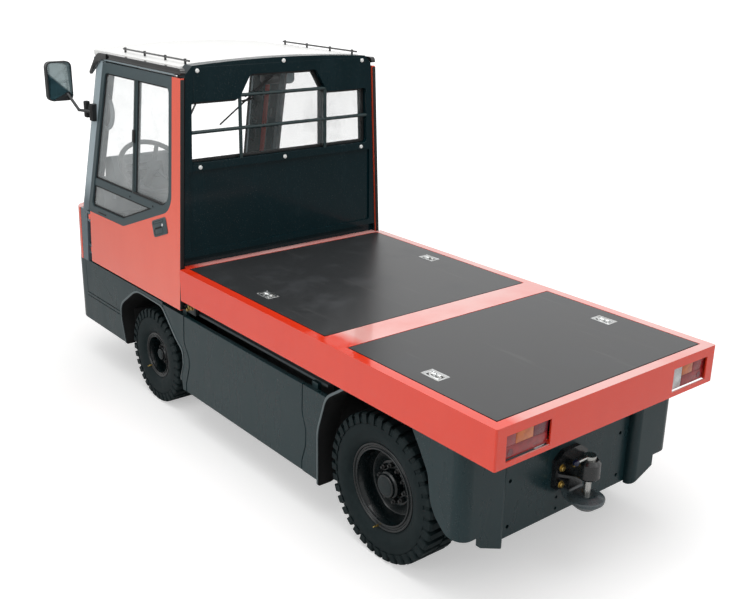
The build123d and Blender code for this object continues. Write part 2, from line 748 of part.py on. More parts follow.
def window_face(grow):
    low, high = side_y(WINDOW_BOTTOM) - 67 + grow, side_y(WINDOW_TOP) - 61 + grow
    return outline(
        (-low, WINDOW_BOTTOM - grow, 18),
        (low, WINDOW_BOTTOM - grow, 18),
        (high, WINDOW_TOP + grow, 18),
        (270 + grow, WINDOW_TOP + grow, 14),
        (200 + grow, WINDOW_PEAK + grow, 26),
        (-200 - grow, WINDOW_PEAK + grow, 26),
        (-270 - grow, WINDOW_TOP + grow, 14),
        (-high, WINDOW_TOP + grow, 18),
    )


def make_cab_glass():
    """Windscreen between the pillars, and the rear window's pane."""
    low, high = BELT_Z + SCREEN_SILL_H + SEAT_GAP, HEADER_Z - SEAT_GAP
    sections = []
    for z in (low, high):
        x, wide = screen_x(z) - 6, side_y(z) - PILLAR_INSET - PILLAR_RETURN - SEAT_GAP
        face = outline((x - SCREEN_T, -wide, 0), (x, -wide, 0), (x, wide, 0), (x - SCREEN_T, wide, 0))
        sections.append(section_at(face, z))
    rear = along_x(window_face(-SEAT_GAP), CAB_REAR + 30, CAB_REAR + 36)
    return gather(loft(sections, ruled=True), rear)


def wall_face():
    """The rear wall's outline, its head one shallow arch over cut shoulders."""
    low, high = side_y(DECK_HEIGHT) - POST_INSET, side_y(WALL_TOP) - POST_INSET
    with BuildSketch() as sketch:
        with BuildLine():
            Polyline((high - 40, WALL_TOP), (high, WALL_TOP - 40), (low, DECK_HEIGHT), (-low, DECK_HEIGHT))
            Polyline((-low, DECK_HEIGHT), (-high, WALL_TOP - 40), (-high + 40, WALL_TOP))
            ThreePointArc((-high + 40, WALL_TOP), (0, WALL_TOP + WALL_CROWN), (high - 40, WALL_TOP))
        make_face()
    return sketch.sketch


def pressed(z0, z1, low_inset, high_inset):
    """A shallow field pressed into the wall between two heights."""
    low, high = side_y(z0) - low_inset, side_y(z1) - high_inset
    field = outline((-low, z0, 10), (low, z0, 10), (high, z1, 10), (-high, z1, 10))
    return along_x(field, CAB_REAR - 1, CAB_REAR + PANEL_RELIEF)


def make_rear_wall():
    wall = along_x(wall_face(), CAB_REAR, CAB_REAR + WALL_T)
    wall -= along_x(window_face(0), CAB_REAR - 1, CAB_REAR + WALL_T + 1)
    wall -= pressed(DECK_HEIGHT + 75, PRESS_BOTTOM, 62, 48)
    half = HALF - TONGUE
    wall -= block(CAB_REAR - 1, CAB_REAR + 24, -half, half, DECK_HEIGHT - 1, DECK_HEIGHT + 45)
    return wall + block(CAB_REAR + 34, CAB_REAR + WALL_T, -half, half, FLOOR_TOP, DECK_HEIGHT + 1)


def make_guard():
    """Bars across the rear window, cut to the window's shape."""
    x = CAB_REAR + 6
    reach = HALF
    guard = rod((x, -reach, WINDOW_BOTTOM + 150), (x, reach, WINDOW_BOTTOM + 150), BAR_R)
    guard += rod((x, -268, WINDOW_TOP + 16), (x, 268, WINDOW_TOP + 16), BAR_R)
    for y in (-262, 262):
        guard += rod((x, y, WINDOW_BOTTOM - 20), (x, y, WINDOW_TOP + 10), BAR_R)
    return guard & along_x(window_face(-SEAT_GAP), CAB_REAR - 20, CAB_REAR + 20)


def make_floor():
    half = HALF - 60
    floor = block(CAB_REAR + 34, NOSE_REAR_X, -half, half, FLOOR_TOP - FLOOR_T, FLOOR_TOP)
    floor += block(NOSE_REAR_X - 10, NOSE_REAR_X + 52, -half + 90, half - 90, FLOOR_TOP - FLOOR_T, FLOOR_TOP)
    return floor + block(NOSE_REAR_X - 26, NOSE_REAR_X, -half + 30, half - 30, FLOOR_TOP - 1, BELT_Z)


# Seats: a plastic shell on the floor, a cushion on it and one against its back
SEAT_X = CAB_REAR + 124
CUSHION_Z = FLOOR_TOP + 250
CUSHION_R = 24.0
SEAT_IN = 96.0
SEAT_OUT = HALF - 126


def make_seat_frames():
    side = outline(
        (SEAT_X, FLOOR_TOP, 0),
        (SEAT_X + 470, FLOOR_TOP, 0),
        (SEAT_X + 500, CUSHION_Z, 0),
        (SEAT_X + 18, CUSHION_Z, 0),
        (SEAT_X + 18, CUSHION_Z + 250, 0),
        (SEAT_X, CUSHION_Z + 250, 0),
    )
    return pair(along_y(side, SEAT_IN + 24, SEAT_OUT - 24))


def make_cushions():
    low = block(SEAT_X + 70, SEAT_X + 528, SEAT_IN, SEAT_OUT, CUSHION_Z + SEAT_GAP, CUSHION_Z + 75)
    back = block(
        SEAT_X + 18 + SEAT_GAP, SEAT_X + 106, SEAT_IN, SEAT_OUT, CUSHION_Z + 85, CUSHION_Z + 290
    )
    return gather(*[pair(fillet(pad.edges(), CUSHION_R)) for pad in (low, back)])


DASH_Z = FLOOR_TOP + 250
DASH_FRONT = NOSE_REAR_X - 26 - SEAT_GAP
STEER_X = NOSE_REAR_X - 332
STEER_Y = HALF * 0.492
STEER_Z = FLOOR_TOP + 540
STEER_R = 185.0
STEER_TILT = 40.0


def make_dash():
    """Full-width shelf under the windscreen, with the binnacle on the left."""
    shelf = outline(
        (DASH_FRONT - 136, DASH_Z, 20),
        (DASH_FRONT, DASH_Z, 0),
        (DASH_FRONT, DASH_Z + 50, 0),
        (DASH_FRONT - 26, DASH_Z + 190, 30),
        (DASH_FRONT - 76, DASH_Z + 230, 40),
        (DASH_FRONT - 156, DASH_Z + 150, 20),
    )
    binnacle = outline(
        (DASH_FRONT - 196, DASH_Z + 100, 20),
        (DASH_FRONT - 76, DASH_Z + 100, 0),
        (DASH_FRONT - 86, DASH_Z + 330, 40),
        (DASH_FRONT - 176, DASH_Z + 350, 30),
        (DASH_FRONT - 226, DASH_Z + 160, 30),
    )
    reach = HALF - 90
    return along_y(shelf, -reach, reach) + along_y(binnacle, STEER_Y - 190, STEER_Y + 190)


def make_steering_wheel():
    place = Pos(STEER_X, STEER_Y, STEER_Z) * Rot(0, -STEER_TILT, 0)
    shape = place * Torus(STEER_R, 14) + place * Cylinder(38, 30)
    for angle in (90, 210, 330):
        shape += place * Rot(0, 0, angle) * Pos(100, 0, 0) * Box(180, 24, 8)
    return shape + place * Pos(0, 0, -110) * Cylinder(26, 200) - make_dash()


def make_roof():
    return along_x(roof_face(0, 0), ROOF_REAR, ROOF_FRONT)


def make_gutters():
    """Rain rails along the eaves, with a strip that droops down each pillar."""
    bend = ROOF_FRONT - 240
    rail = outline(
        (CAB_REAR - 5, EAVE_Z + 0.5, 6),
        (bend + 22, EAVE_Z + 0.5, 0),
        (bend + 22, EAVE_Z + 30, 0),
        (CAB_REAR - 5, EAVE_Z + 30, 20),
    )
    droop = outline(
        (bend, EAVE_Z + 0.5, 0),
        (bend + 70, EAVE_Z - 4, 90),
        (bend + 195, EAVE_Z - 94, 8),
        (bend + 213, EAVE_Z - 84, 8),
        (bend + 115, EAVE_Z + 30, 110),
        (bend, EAVE_Z + 30, 0),
    )
    gutter = side_piece(rail, -2, POST_INSET - SEAT_GAP)
    gutter += side_piece(droop, -8, PILLAR_INSET - SEAT_GAP)
    return pair(gutter)


ROD_Y = HALF - 142
ROD_R = 5.0


def make_roof_rods():
    z = EAVE_Z + 56
    bar = rod((ROOF_REAR - 20, ROD_Y, z), (ROOF_FRONT - 276, ROD_Y, z), ROD_R)
    for x in (94, 294, 514, 734):
        bar += rod((CAB_REAR + x, ROD_Y, EAVE_Z + 30), (CAB_REAR + x, ROD_Y, z + 9), ROD_R + 1)
    return pair(bar - along_x(roof_face(0, SEAT_GAP), DECK_LENGTH, BUMPER_FRONT))


# Doors: red skin with an inner pan, window frame and glass on the leaning side
DOOR_REAR = CAB_REAR - 4
DOOR_FRONT = FOOT_REAR - 46
DOOR_T = 18.0
PAN_T = 46.0
PANE_TOP = DOOR_TOP - 54
PANE_FRONT = 36.0
FRAME_T = 34.0
# Where the window's lower edge turns, in x from the cab's rear
CUT_REAR = CAB_REAR + 82
CUT_LOW = CAB_REAR + 629


def window_edge(inset):
    """Corners of the window's frame, moved in from the door's cut edge."""
    return [
        (CUT_REAR + inset, DOOR_TOP, 0),
        (CUT_REAR + 6 + inset, BELT_Z + 204 + inset, 120),
        (CUT_LOW + inset / 4, BELT_Z + 9 + inset, 60),
        (door_front_x(BELT_Z + 5) - inset, BELT_Z + 4 + inset, 12),
        (door_front_x(DOOR_TOP) - inset, DOOR_TOP, 46),
    ]


def pane_edge(inset):
    """Corners of the opening inside the window's frame."""
    low = BELT_Z + 44
    return [
        (CUT_REAR + 34 + inset, PANE_TOP - inset, 30),
        (CUT_REAR + 38 + inset, BELT_Z + 238 + inset, 90),
        (CUT_LOW + 8 + inset, low + 5 + inset, 40),
        (door_front_x(low) - PANE_FRONT - inset, low + inset, 20),
        (door_front_x(PANE_TOP) - PANE_FRONT - inset, PANE_TOP - inset, 36),
    ]


def mullions(grow):
    """The rail and the upright that split the side window."""
    low, high = BELT_Z + 170 - grow, BELT_Z + 210 + grow
    front = DOOR_FRONT - 20
    rail = outline((CUT_REAR + 20, low, 0), (front, low, 0), (front, high, 0), (CUT_REAR + 20, high, 0))
    foot, head = CUT_REAR + 412, CUT_REAR + 368
    post = outline(
        (foot - grow, BELT_Z + 190, 0),
        (foot + 38 + grow, BELT_Z + 190, 0),
        (head + 38 + grow, DOOR_TOP - 30, 0),
        (head - grow, DOOR_TOP - 30, 0),
    )
    return through_side(rail) + through_side(post)


def make_door_skin():
    face = outline(
        (DOOR_REAR, SILL_Z + 1, 0),
        (DOOR_FRONT - 10, SILL_Z + 1, 0),
        (DOOR_FRONT, BELT_Z + 4, 0),
        (CUT_LOW, BELT_Z + 9, 60),
        (CUT_REAR + 6, BELT_Z + 204, 120),
        (CUT_REAR, DOOR_TOP, 0),
        (DOOR_REAR, DOOR_TOP, 0),
    )
    pan = outline(
        (CAB_REAR + 94, SILL_Z + 20, 0),
        (DOOR_FRONT - 30, SILL_Z + 20, 0),
        (DOOR_FRONT - 30, BELT_Z - 2, 0),
        (CUT_LOW, BELT_Z, 0),
        (CAB_REAR + 94, BELT_Z + 194, 0),
    )
    skin = side_piece(face, 0, DOOR_T) + side_piece(pan, DOOR_T - 1, PAN_T)
    for z in HINGE_Z:
        skin += hinge_eye(z)
    return skin


def make_door_window():
    frame = side_piece(outline(*window_edge(SEAT_GAP)), 1, FRAME_T)
    hole = through_side(outline(*pane_edge(0)))
    bars = mullions(0) & side_slab(6, FRAME_T - 4)
    return frame - hole + (bars & hole)


def make_door_glass():
    return side_piece(outline(*pane_edge(SEAT_GAP)), 14, 20) - mullions(SEAT_GAP)


# Axles and wheels
STUB_R = 22.0
STUB_END = WHEEL_FACE_Y - 50
REAR_STUB_R = 40.0
REAR_STUB_END = WHEEL_FACE_Y - 60
YOKE_IN = KINGPIN_Y - 52
YOKE_H = 58.0
KINGPIN_R = 12.0
SPRING_T = 36.0
FLANGE_H = 13.0
FLANGE_W = 7.0
RIM_T = 8.0
DISC_T = 12.0
LUG_DEPTH = 15.0
LUG_SHARE = 0.62


def make_carcass(radius, width, bore, seat):
    """A tyre without its lugs, turned about the y axis."""
    half = width / 2
    crown = radius - LUG_DEPTH
    side = [
        (bore, seat, 0),
        (bore + FLANGE_H + 3, seat, 0),
        (bore + (radius - bore) * 0.5, half, 40),
        (crown, half * 0.9, 0),
    ]
    return revolve(Plane.XY * outline(*side, *[(r, -y, turn) for r, y, turn in reversed(side)]), Axis.Y)


def make_lugs(radius, width, count):
    """The tread's ring of lugs, one of them flat on the ground."""
    root = radius - LUG_DEPTH - 2
    half_lug = pi / count * LUG_SHARE
    tip = radius / cos(half_lug)
    corners = []
    for index in range(count):
        middle = 2 * pi * index / count - pi / 2
        for angle, reach in (
            (middle - half_lug * 1.15, root),
            (middle - half_lug, tip),
            (middle + half_lug, tip),
            (middle + half_lug * 1.15, root),
        ):
            corners.append((reach * cos(angle), reach * sin(angle)))
    ring = make_face(Polyline(*corners, close=True)) - make_face(CenterArc((0, 0), root - 20, 0, 360))
    reach = width * 0.45
    return along_y(ring, -reach, reach)


def make_rim(bore, seat, disc_y, hub, axle_r, axle_end):
    """Barrel, flanges, disc and hub in one section, turned about the y axis."""
    hub_r, hub_inner, hub_outer = hub
    face = bore - SEAT_GAP
    edge = seat + SEAT_GAP
    inner = face - RIM_T
    section = outline(
        (face, -edge, 0),
        (face + FLANGE_H, -edge, 0),
        (face + FLANGE_H, -edge - FLANGE_W, 0),
        (inner, -edge - FLANGE_W, 0),
        (inner - 10, -edge + 20, 0),
        (inner - 10, disc_y, 8),
        (hub_r, disc_y, 0),
        (hub_r, hub_inner, 0),
        (axle_r + RUN_GAP, hub_inner, 0),
        (axle_r + RUN_GAP, axle_end + 1, 0),
        (0, axle_end + 1, 0),
        (0, hub_outer, 0),
        (hub_r - 8, hub_outer, 0),
        (hub_r - 8, disc_y + DISC_T, 0),
        (inner - 10, disc_y + DISC_T, 8),
        (inner - 10, edge - 20, 0),
        (inner, edge + FLANGE_W, 0),
        (face + FLANGE_H, edge + FLANGE_W, 0),
        (face + FLANGE_H, edge, 0),
        (face, edge, 0),
    )
    return revolve(Plane.XY * section, Axis.Y)


def across(x, z, y0, y1, radius):
    return rod((x, y0, z), (x, y1, z), radius)


def make_rear_axle():
    """Axle tube, stub shafts, differential with its neck, and leaf springs."""
    tube_end = WHEEL_FACE_Y - REAR_TYRE_W - 8
    axle = across(REAR_AXLE_X, REAR_TYRE_R, -tube_end, tube_end, 50)
    axle += across(REAR_AXLE_X, REAR_TYRE_R, -REAR_STUB_END, REAR_STUB_END, REAR_STUB_R)
    axle += Pos(REAR_AXLE_X, 0, REAR_TYRE_R) * Sphere(130)
    axle += rod((REAR_AXLE_X, 0, REAR_TYRE_R), (REAR_AXLE_X + 137, 0, REAR_TYRE_R), 70)
    eye = RAIL_BOTTOM - SEAT_GAP
    leaf = outline(
        (REAR_AXLE_X - 350, eye - 16, 0),
        (REAR_AXLE_X, eye - SPRING_T, 900),
        (REAR_AXLE_X + 350, eye - 16, 0),
        (REAR_AXLE_X + 350, eye, 0),
        (REAR_AXLE_X - 350, eye, 0),
    )
    spring = along_y(leaf, RAIL_INNER + 4, RAIL_OUTER - 4)
    return axle + spring + other_side(spring)


def make_front_axle():
    """Axle beam with a yoke and kingpin at each end, and leaf springs."""
    x, z = FRONT_AXLE_X, FRONT_TYRE_R
    half = across(x, z, -1, YOKE_IN, 40)
    half += block(x - 26, x + 26, YOKE_IN - 20, YOKE_IN, z - YOKE_H, z + YOKE_H)
    for low in (z - YOKE_H, z + YOKE_H - 24):
        half += block(x - 26, x + 26, YOKE_IN - 2, KINGPIN_Y + 24, low, low + 24)
    half += upright(x, KINGPIN_Y, z - YOKE_H, z + YOKE_H, KINGPIN_R)
    eye = RAIL_BOTTOM - SEAT_GAP
    half += block(x - 300, x + 300, RAIL_INNER + 4, RAIL_OUTER - 4, eye - SPRING_T, eye)
    half += block(x - 50, x + 50, RAIL_INNER + 4, RAIL_OUTER - 4, z, eye - SPRING_T + 2)
    return half + other_side(half)


def make_knuckle():
    """Steering knuckle: a boss on the kingpin and the stub for the wheel."""
    x, z = FRONT_AXLE_X, FRONT_TYRE_R
    reach = YOKE_H - 25
    shape = upright(x, KINGPIN_Y, z - reach, z + reach, 24)
    shape += across(x, z, KINGPIN_Y + 20, STUB_END, STUB_R)
    return shape - upright(x, KINGPIN_Y, z - YOKE_H, z + YOKE_H, KINGPIN_R + RUN_GAP)


def make_drive_motor():
    z = REAR_TYRE_R + 30
    return rod((REAR_AXLE_X + 137, 0, z), (MOTOR_FRONT, 0, z), 110)


def make_battery():
    half = WELL_HALF - 110
    return block(WELL_REAR + 36, WELL_FRONT - 36, -half, half, WELL_BOTTOM + WELL_T, COVER_SEAT_Z - 36)


MIRROR_X = NOSE_REAR_X - 102
MIRROR_Y = HALF + 90
MIRROR_Z = EAVE_Z - 134


def make_mirrors():
    """Mirror heads on bent arms, each clamped to its pillar."""
    head = Pos(MIRROR_X, MIRROR_Y, MIRROR_Z) * Box(34, 142, 212)
    head = fillet(head.edges().filter_by(Axis.X), 30)
    low = MIRROR_Z - 200
    foot = outline(
        (MIRROR_X - 152, low, 0), (MIRROR_X - 114, low - 8, 0), (MIRROR_X - 114, low + 84, 6), (MIRROR_X - 152, low + 84, 6)
    )
    clamp_y = side_y(low) + 12
    knee = (MIRROR_X - 80, clamp_y + 52, low + 48)
    arm = rod((MIRROR_X - 132, clamp_y, low + 40), knee, 8) + Pos(*knee) * Sphere(9)
    arm += rod(knee, (MIRROR_X - 12, MIRROR_Y - 40, MIRROR_Z - 70), 8)
    return pair(head + arm + side_piece(foot, -22, PILLAR_INSET))


def make_wiper():
    low, high = BELT_Z + 22, BELT_Z + 560
    arm = rod((SCREEN_FOOT_X + 20, 120, low), (screen_x(high) + 14, -100, high), 6)
    return arm + rod((SCREEN_FOOT_X, 120, low), (SCREEN_FOOT_X + 30, 120, low), 14)


SHAPES = {
    "deck_frame": make_deck_frame(),
    "cover_rear": make_cover(FLANGE + COVER_GAP, BEAM_REAR - COVER_GAP, REAR_RING_X),
    "cover_front": make_cover(BEAM_FRONT + COVER_GAP, COVER_FRONT - COVER_GAP, FRONT_RING_X),
    "rear_lamps": make_rear_lamps(),
    "frame_rails": make_rails(),
    "battery_well": make_well(),
    "sill_rails": make_sill_rails(),
    "rear_plate": make_rear_plate(),
    "tow_coupling": make_coupling(),
    "coupling_pin": make_coupling_pin(),
    "side_panels": make_side_panels(),
    "fenders": make_fenders(),
    "arch_liners": make_liners(),
    "rear_fairings": make_rear_fairings(),
    "front_bumper": make_front_bumper(),
    "headlamps": make_headlamps(),
    "cab_nose": make_nose(),
    "cab_pillars": make_pillars(),
    "cab_glass": make_cab_glass(),
    "cab_rear_wall": make_rear_wall(),
    "window_guard": make_guard(),
    "cab_floor": make_floor(),
    "seat_frames": make_seat_frames(),
    "seat_cushions": make_cushions(),
    "dashboard": make_dash(),
    "steering_wheel": make_steering_wheel(),
    "roof": make_roof(),
    "roof_gutters": make_gutters(),
    "roof_rods": make_roof_rods(),
    "battery": make_battery(),
    "drive_motor": make_drive_motor(),
    "rear_axle": make_rear_axle(),
    "front_axle": make_front_axle(),
    "mirrors": make_mirrors(),
    "wiper": make_wiper(),
}

LEFT = {
    "door_skin": make_door_skin(),
    "door_window": make_door_window(),
    "door_glass": make_door_glass(),
    "knuckle": make_knuckle(),
}
# Wheels: axle x, tyre radius, width, bore, bead seat, lugs, disc, (hub radius,
# inner end, outer end), stub radius, stub end
WHEELS = {
    "front": (FRONT_AXLE_X, FRONT_TYRE_R, FRONT_TYRE_W, 112, 52, 26, 8, (56, -40, 46), STUB_R, STUB_END),
    "rear": (REAR_AXLE_X, REAR_TYRE_R, REAR_TYRE_W, 177, 62, 30, 0, (84, -70, 54), REAR_STUB_R, REAR_STUB_END),
}
for axle, (x, radius, width, bore, seat, count, disc_y, hub, axle_r, end) in WHEELS.items():
    y = WHEEL_FACE_Y - width / 2
    place = Pos(x, y, radius)
    LEFT[f"tyre_{axle}"] = place * (make_carcass(radius, width, bore, seat) + make_lugs(radius, width, count))
    LEFT[f"rim_{axle}"] = place * make_rim(bore, seat, disc_y, hub, axle_r, end - y)
for node, shape in LEFT.items():
    SHAPES[f"{node}_left"] = shape
    SHAPES[f"{node}_right"] = other_side(shape)

for node, shape in SHAPES.items():
    export_step(Pos(-BUMPER_FRONT / 2, 0, 0) * shape, f"parts/{node}.step")
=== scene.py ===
import bpy
import json
from math import atan, cos, exp, pi, radians, sin
from mathutils import Matrix, Vector

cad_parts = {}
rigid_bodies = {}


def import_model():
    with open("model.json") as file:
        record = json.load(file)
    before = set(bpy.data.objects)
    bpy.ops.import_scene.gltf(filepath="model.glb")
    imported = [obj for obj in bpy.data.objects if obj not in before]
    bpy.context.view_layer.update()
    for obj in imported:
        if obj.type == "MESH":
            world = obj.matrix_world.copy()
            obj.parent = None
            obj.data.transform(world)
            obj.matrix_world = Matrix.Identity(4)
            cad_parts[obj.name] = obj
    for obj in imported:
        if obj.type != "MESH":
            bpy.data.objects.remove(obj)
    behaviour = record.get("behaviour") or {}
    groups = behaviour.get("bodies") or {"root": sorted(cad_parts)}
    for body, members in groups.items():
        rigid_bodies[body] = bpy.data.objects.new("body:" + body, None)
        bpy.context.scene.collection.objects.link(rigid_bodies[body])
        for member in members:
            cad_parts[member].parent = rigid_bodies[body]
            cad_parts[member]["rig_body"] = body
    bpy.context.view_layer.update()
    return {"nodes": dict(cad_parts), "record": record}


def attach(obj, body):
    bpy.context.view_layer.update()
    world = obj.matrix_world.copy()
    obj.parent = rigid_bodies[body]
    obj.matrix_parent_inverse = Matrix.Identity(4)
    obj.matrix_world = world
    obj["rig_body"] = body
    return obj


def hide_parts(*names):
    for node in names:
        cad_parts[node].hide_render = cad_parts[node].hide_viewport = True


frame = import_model()


# Camera: stands behind the left rear corner, above head height, and looks
# down along the deck towards the cab.
turn, climb, tilt = radians(230.4), radians(19.34), 0.021
back = Vector((sin(turn) * cos(climb), -cos(turn) * cos(climb), sin(climb)))
right = Vector((0, 0, 1)).cross(back).normalized()
up = back.cross(right)
across = right * cos(tilt) + up * sin(tilt)
upward = up * cos(tilt) - right * sin(tilt)
stand = Matrix.Translation((-3.8135, 2.888, 2.372))
bpy.ops.object.camera_add()
camera = bpy.context.object
camera.matrix_world = stand @ Matrix((across, upward, back)).transposed().to_4x4()
camera.data.lens = 47.54
camera.data.sensor_width = 36.0
bpy.context.scene.camera = camera
bpy.context.scene.view_settings.view_transform = "Standard"


# Studio: a pale floor that runs out of sight, a white surround, one broad
# soft lamp over the truck and weaker ones beside it.
class Link:
    """One output of a shader node; sums on it add Math nodes."""

    def __init__(self, paint, socket):
        self.paint = paint
        self.socket = socket

    def __add__(self, other):
        return self.paint.node("Math", {0: self, 1: other}, operation="ADD")

    def __rsub__(self, other):
        return self.paint.node("Math", {0: other, 1: self}, operation="SUBTRACT")

    def __mul__(self, other):
        return self.paint.node("Math", {0: self, 1: other}, operation="MULTIPLY")

    def output(self, wanted):
        """Another output of the same node."""
        return Link(self.paint, self.socket.node.outputs[wanted])


class Paint:
    """A finish of this truck: a material, and calls that add nodes to it."""

    def __init__(self, name, colour=None, **constants):
        self.material = bpy.data.materials.new(name)
        self.material.use_nodes = True
        self.tree = self.material.node_tree
        self.shader = self.tree.nodes["Principled BSDF"]
        self.place = self.node("TexCoord").output("Object")
        if colour:
            self.shader.inputs["Base Color"].default_value = rgb(colour)
        for name, value in constants.items():
            self.shader.inputs[name.replace("_", " ")].default_value = value

    def node(self, kind, values=None, output=0, **settings):
        """A new shader node with its settings and inputs; gives one output."""
        made = self.tree.nodes.new(f"ShaderNode{kind}")
        for name, value in settings.items():
            setattr(made, name, value)
        for name, value in (values or {}).items():
            if isinstance(value, Link):
                self.tree.links.new(value.socket, made.inputs[name])
            else:
                made.inputs[name].default_value = value
        return Link(self, made.outputs[output])

    def noise(self, scale, detail=3.0, roughness=0.55, stretch=(1, 1, 1)):
        """Noise from 0 to 1, its cells 1 / scale metres wide."""
        place = self.node("Mapping", {"Vector": self.place, "Scale": stretch})
        values = {"Vector": place, "Scale": scale, "Detail": detail, "Roughness": roughness}
        return self.node("TexNoise", values)

    def along(self, axis):
        """How far a point stands along X, Y or Z, in metres."""
        return self.node("SeparateXYZ", {"Vector": self.place}).output(axis)

    def sideways(self):
        """How far a point stands from the truck's middle, in metres."""
        return self.node("Math", {0: self.along("Y")}, operation="ABSOLUTE")

    def between(self, value, low, high, to_low=0.0, to_high=1.0):
        """A value stretched from one range to another and kept inside it."""
        values = {"Value": value, "From Min": low, "From Max": high, "To Min": to_low, "To Max": to_high}
        return self.node("MapRange", values)

    def blend(self, share, first, second):
        """A colour between two colours or colour links."""
        mixed = self.node("Mix", {"Factor": share}, output=2, data_type="RGBA")
        for place, colour in ((6, first), (7, second)):
            socket = mixed.socket.node.inputs[place]
            if isinstance(colour, Link):
                self.tree.links.new(colour.socket, socket)
            else:
                socket.default_value = rgb(colour)
        return mixed

    def bumps(self, height, strength, distance):
        """The shader's normal from a height."""
        values = {"Height": height, "Strength": strength, "Distance": distance}
        self.drive("Normal", self.node("Bump", values))

    def drive(self, name, link):
        """Let a link set one of the shader's inputs."""
        self.tree.links.new(link.socket, self.shader.inputs[name])

    def tint(self, share, first, second):
        """Set the base colour, somewhere between two."""
        self.drive("Base Color", self.blend(share, first, second))

    def gloss(self, value, smooth, rough, low=0.3, high=0.7):
        """Set the roughness from a value that runs from low to high."""
        self.drive("Roughness", self.between(value, low, high, smooth, rough))

    def undercoat(self):
        """The link that sets the base colour so far."""
        return Link(self, self.shader.inputs["Base Color"].links[0].from_socket)


def rgb(colour):
    """A colour as it shows, 0 to 255, turned into the shader's numbers."""
    shares = [part / 255 for part in colour]
    return (*[share / 12.92 if share < 0.0405 else ((share + 0.055) / 1.055) ** 2.4 for share in shares], 1.0)


def alone(*pieces):
    """Leave edit mode and select only these pieces."""
    if bpy.context.object and bpy.context.object.mode != "OBJECT":
        bpy.ops.object.mode_set(mode="OBJECT")
    bpy.ops.object.select_all(action="DESELECT")
    for piece in pieces:
        piece.select_set(True)
        bpy.context.view_layer.objects.active = piece


FLOOR_SIZE = 120
FLOOR_GLOW = 0.42
SURROUND_LIGHT = 0.42
alone()
bpy.ops.mesh.primitive_plane_add(size=FLOOR_SIZE, location=(0, 0, 0))
floor = bpy.context.object
floor.name = "studio_floor"
floor_paint = Paint("floor_pale", Roughness=0.9, Specular_IOR_Level=0.0, Emission_Strength=1.0)
seen = floor_paint.node("LightPath").output("Is Camera Ray")
away = floor_paint.node("VectorMath", {"Vector": floor_paint.place}, operation="LENGTH").output("Value")
glow = floor_paint.between(away, 1.5, 5.0, FLOOR_GLOW, 1.0) * seen
floor_paint.tint(floor_paint.noise(3), (232, 232, 231), (228, 228, 228))
floor_paint.drive("Emission Color", floor_paint.blend(glow, (0, 0, 0), (255, 255, 255)))
floor.data.materials.append(floor_paint.material)
bpy.ops.object.mode_set(mode="EDIT")
bpy.ops.mesh.subdivide(number_cuts=3)
alone()

world = bpy.context.scene.world or bpy.data.worlds.new("studio")
bpy.context.scene.world = world
world.use_nodes = True
surround = world.node_tree
rays = surround.nodes.new("ShaderNodeLightPath")
seen_by = rays.outputs["Is Camera Ray"]
for ray in ("Is Glossy Ray", "Is Transmission Ray"):
    either = surround.nodes.new("ShaderNodeMath")
    either.operation = "MAXIMUM"
    surround.links.new(seen_by, either.inputs[0])
    surround.links.new(rays.outputs[ray], either.inputs[1])
    seen_by = either.outputs[0]
level = surround.nodes.new("ShaderNodeMapRange")
level.inputs["To Min"].default_value = SURROUND_LIGHT
level.inputs["To Max"].default_value = 1.0
surround.links.new(seen_by, level.inputs["Value"])
surround.links.new(level.outputs[0], surround.nodes["Background"].inputs["Strength"])
surround.nodes["Background"].inputs["Color"].default_value = (1, 1, 1, 1)

# Lamps: name, place, aimed at, width, height, power
for name, place, aim, wide, high, power in (
    ("lamp_over", (-0.8, 0.6, 5.2), (0, 0, 0.4), 5.0, 4.0, 150),
    ("lamp_left", (-0.5, 5.5, 2.6), (0, 0, 0.8), 4.0, 2.6, 70),
    ("lamp_rear", (-5.5, -1.5, 2.4), (0, 0, 0.7), 3.5, 2.4, 26),
):
    data = bpy.data.lights.new(name, "AREA")
    data.shape = "RECTANGLE"
    data.size = wide
    data.size_y = high
    data.energy = power
    lamp = bpy.data.objects.new(name, data)
    bpy.context.scene.collection.objects.link(lamp)
    lamp.location = place
    lamp.rotation_euler = (Vector(aim) - Vector(place)).to_track_quat("-Z", "Y").to_euler()


# Deck frame: folded sheet steel with a flat flange on top, sprayed with glossy
# orange-red enamel; a painted reflection pales the flange's up-facing faces towards pink, bar those along the
# left edge.
SLOTS = {part["node"]: part["material_slot"] for part in frame["record"]["subparts"]}


def enamel(name, colour, shade, roughness, **constants):
    """Sprayed paint: faint orange peel, dust in the pores, wiped patches."""
    paint = Paint(name, **constants)
    smear = paint.between(paint.noise(9, 5, stretch=(1, 1, 0.35)), 0.42, 0.75)
    specks = paint.between(paint.noise(160, 2), 0.62, 0.72)
    tone = paint.blend(paint.noise(2.2, 4) * 0.7 + smear * 0.3, colour, shade)
    paint.tint(specks * 0.08, tone, (150, 146, 140))
    paint.gloss(smear + specks * 0.25, roughness, roughness + 0.14, 0, 1)
    paint.bumps(paint.noise(420, 2) * 0.7 + paint.noise(60, 2) * 0.3, 0.05, 0.0005)
    return paint


def apply(piece, kind, **settings):
    """Add a modifier and apply it."""
    alone(piece)
    modifier = piece.modifiers.new(kind.lower(), kind)
    for name, value in settings.items():
        setattr(modifier, name, value)
    bpy.ops.object.modifier_apply(modifier=modifier.name)


def round_edges(piece, width, segments=2, angle=32):
    """Round the sharp edges of a piece, its width in millimetres."""
    sharp = {"limit_method": "ANGLE", "angle_limit": radians(angle)}
    apply(piece, "BEVEL", width=width / 1000, segments=segments, **sharp)


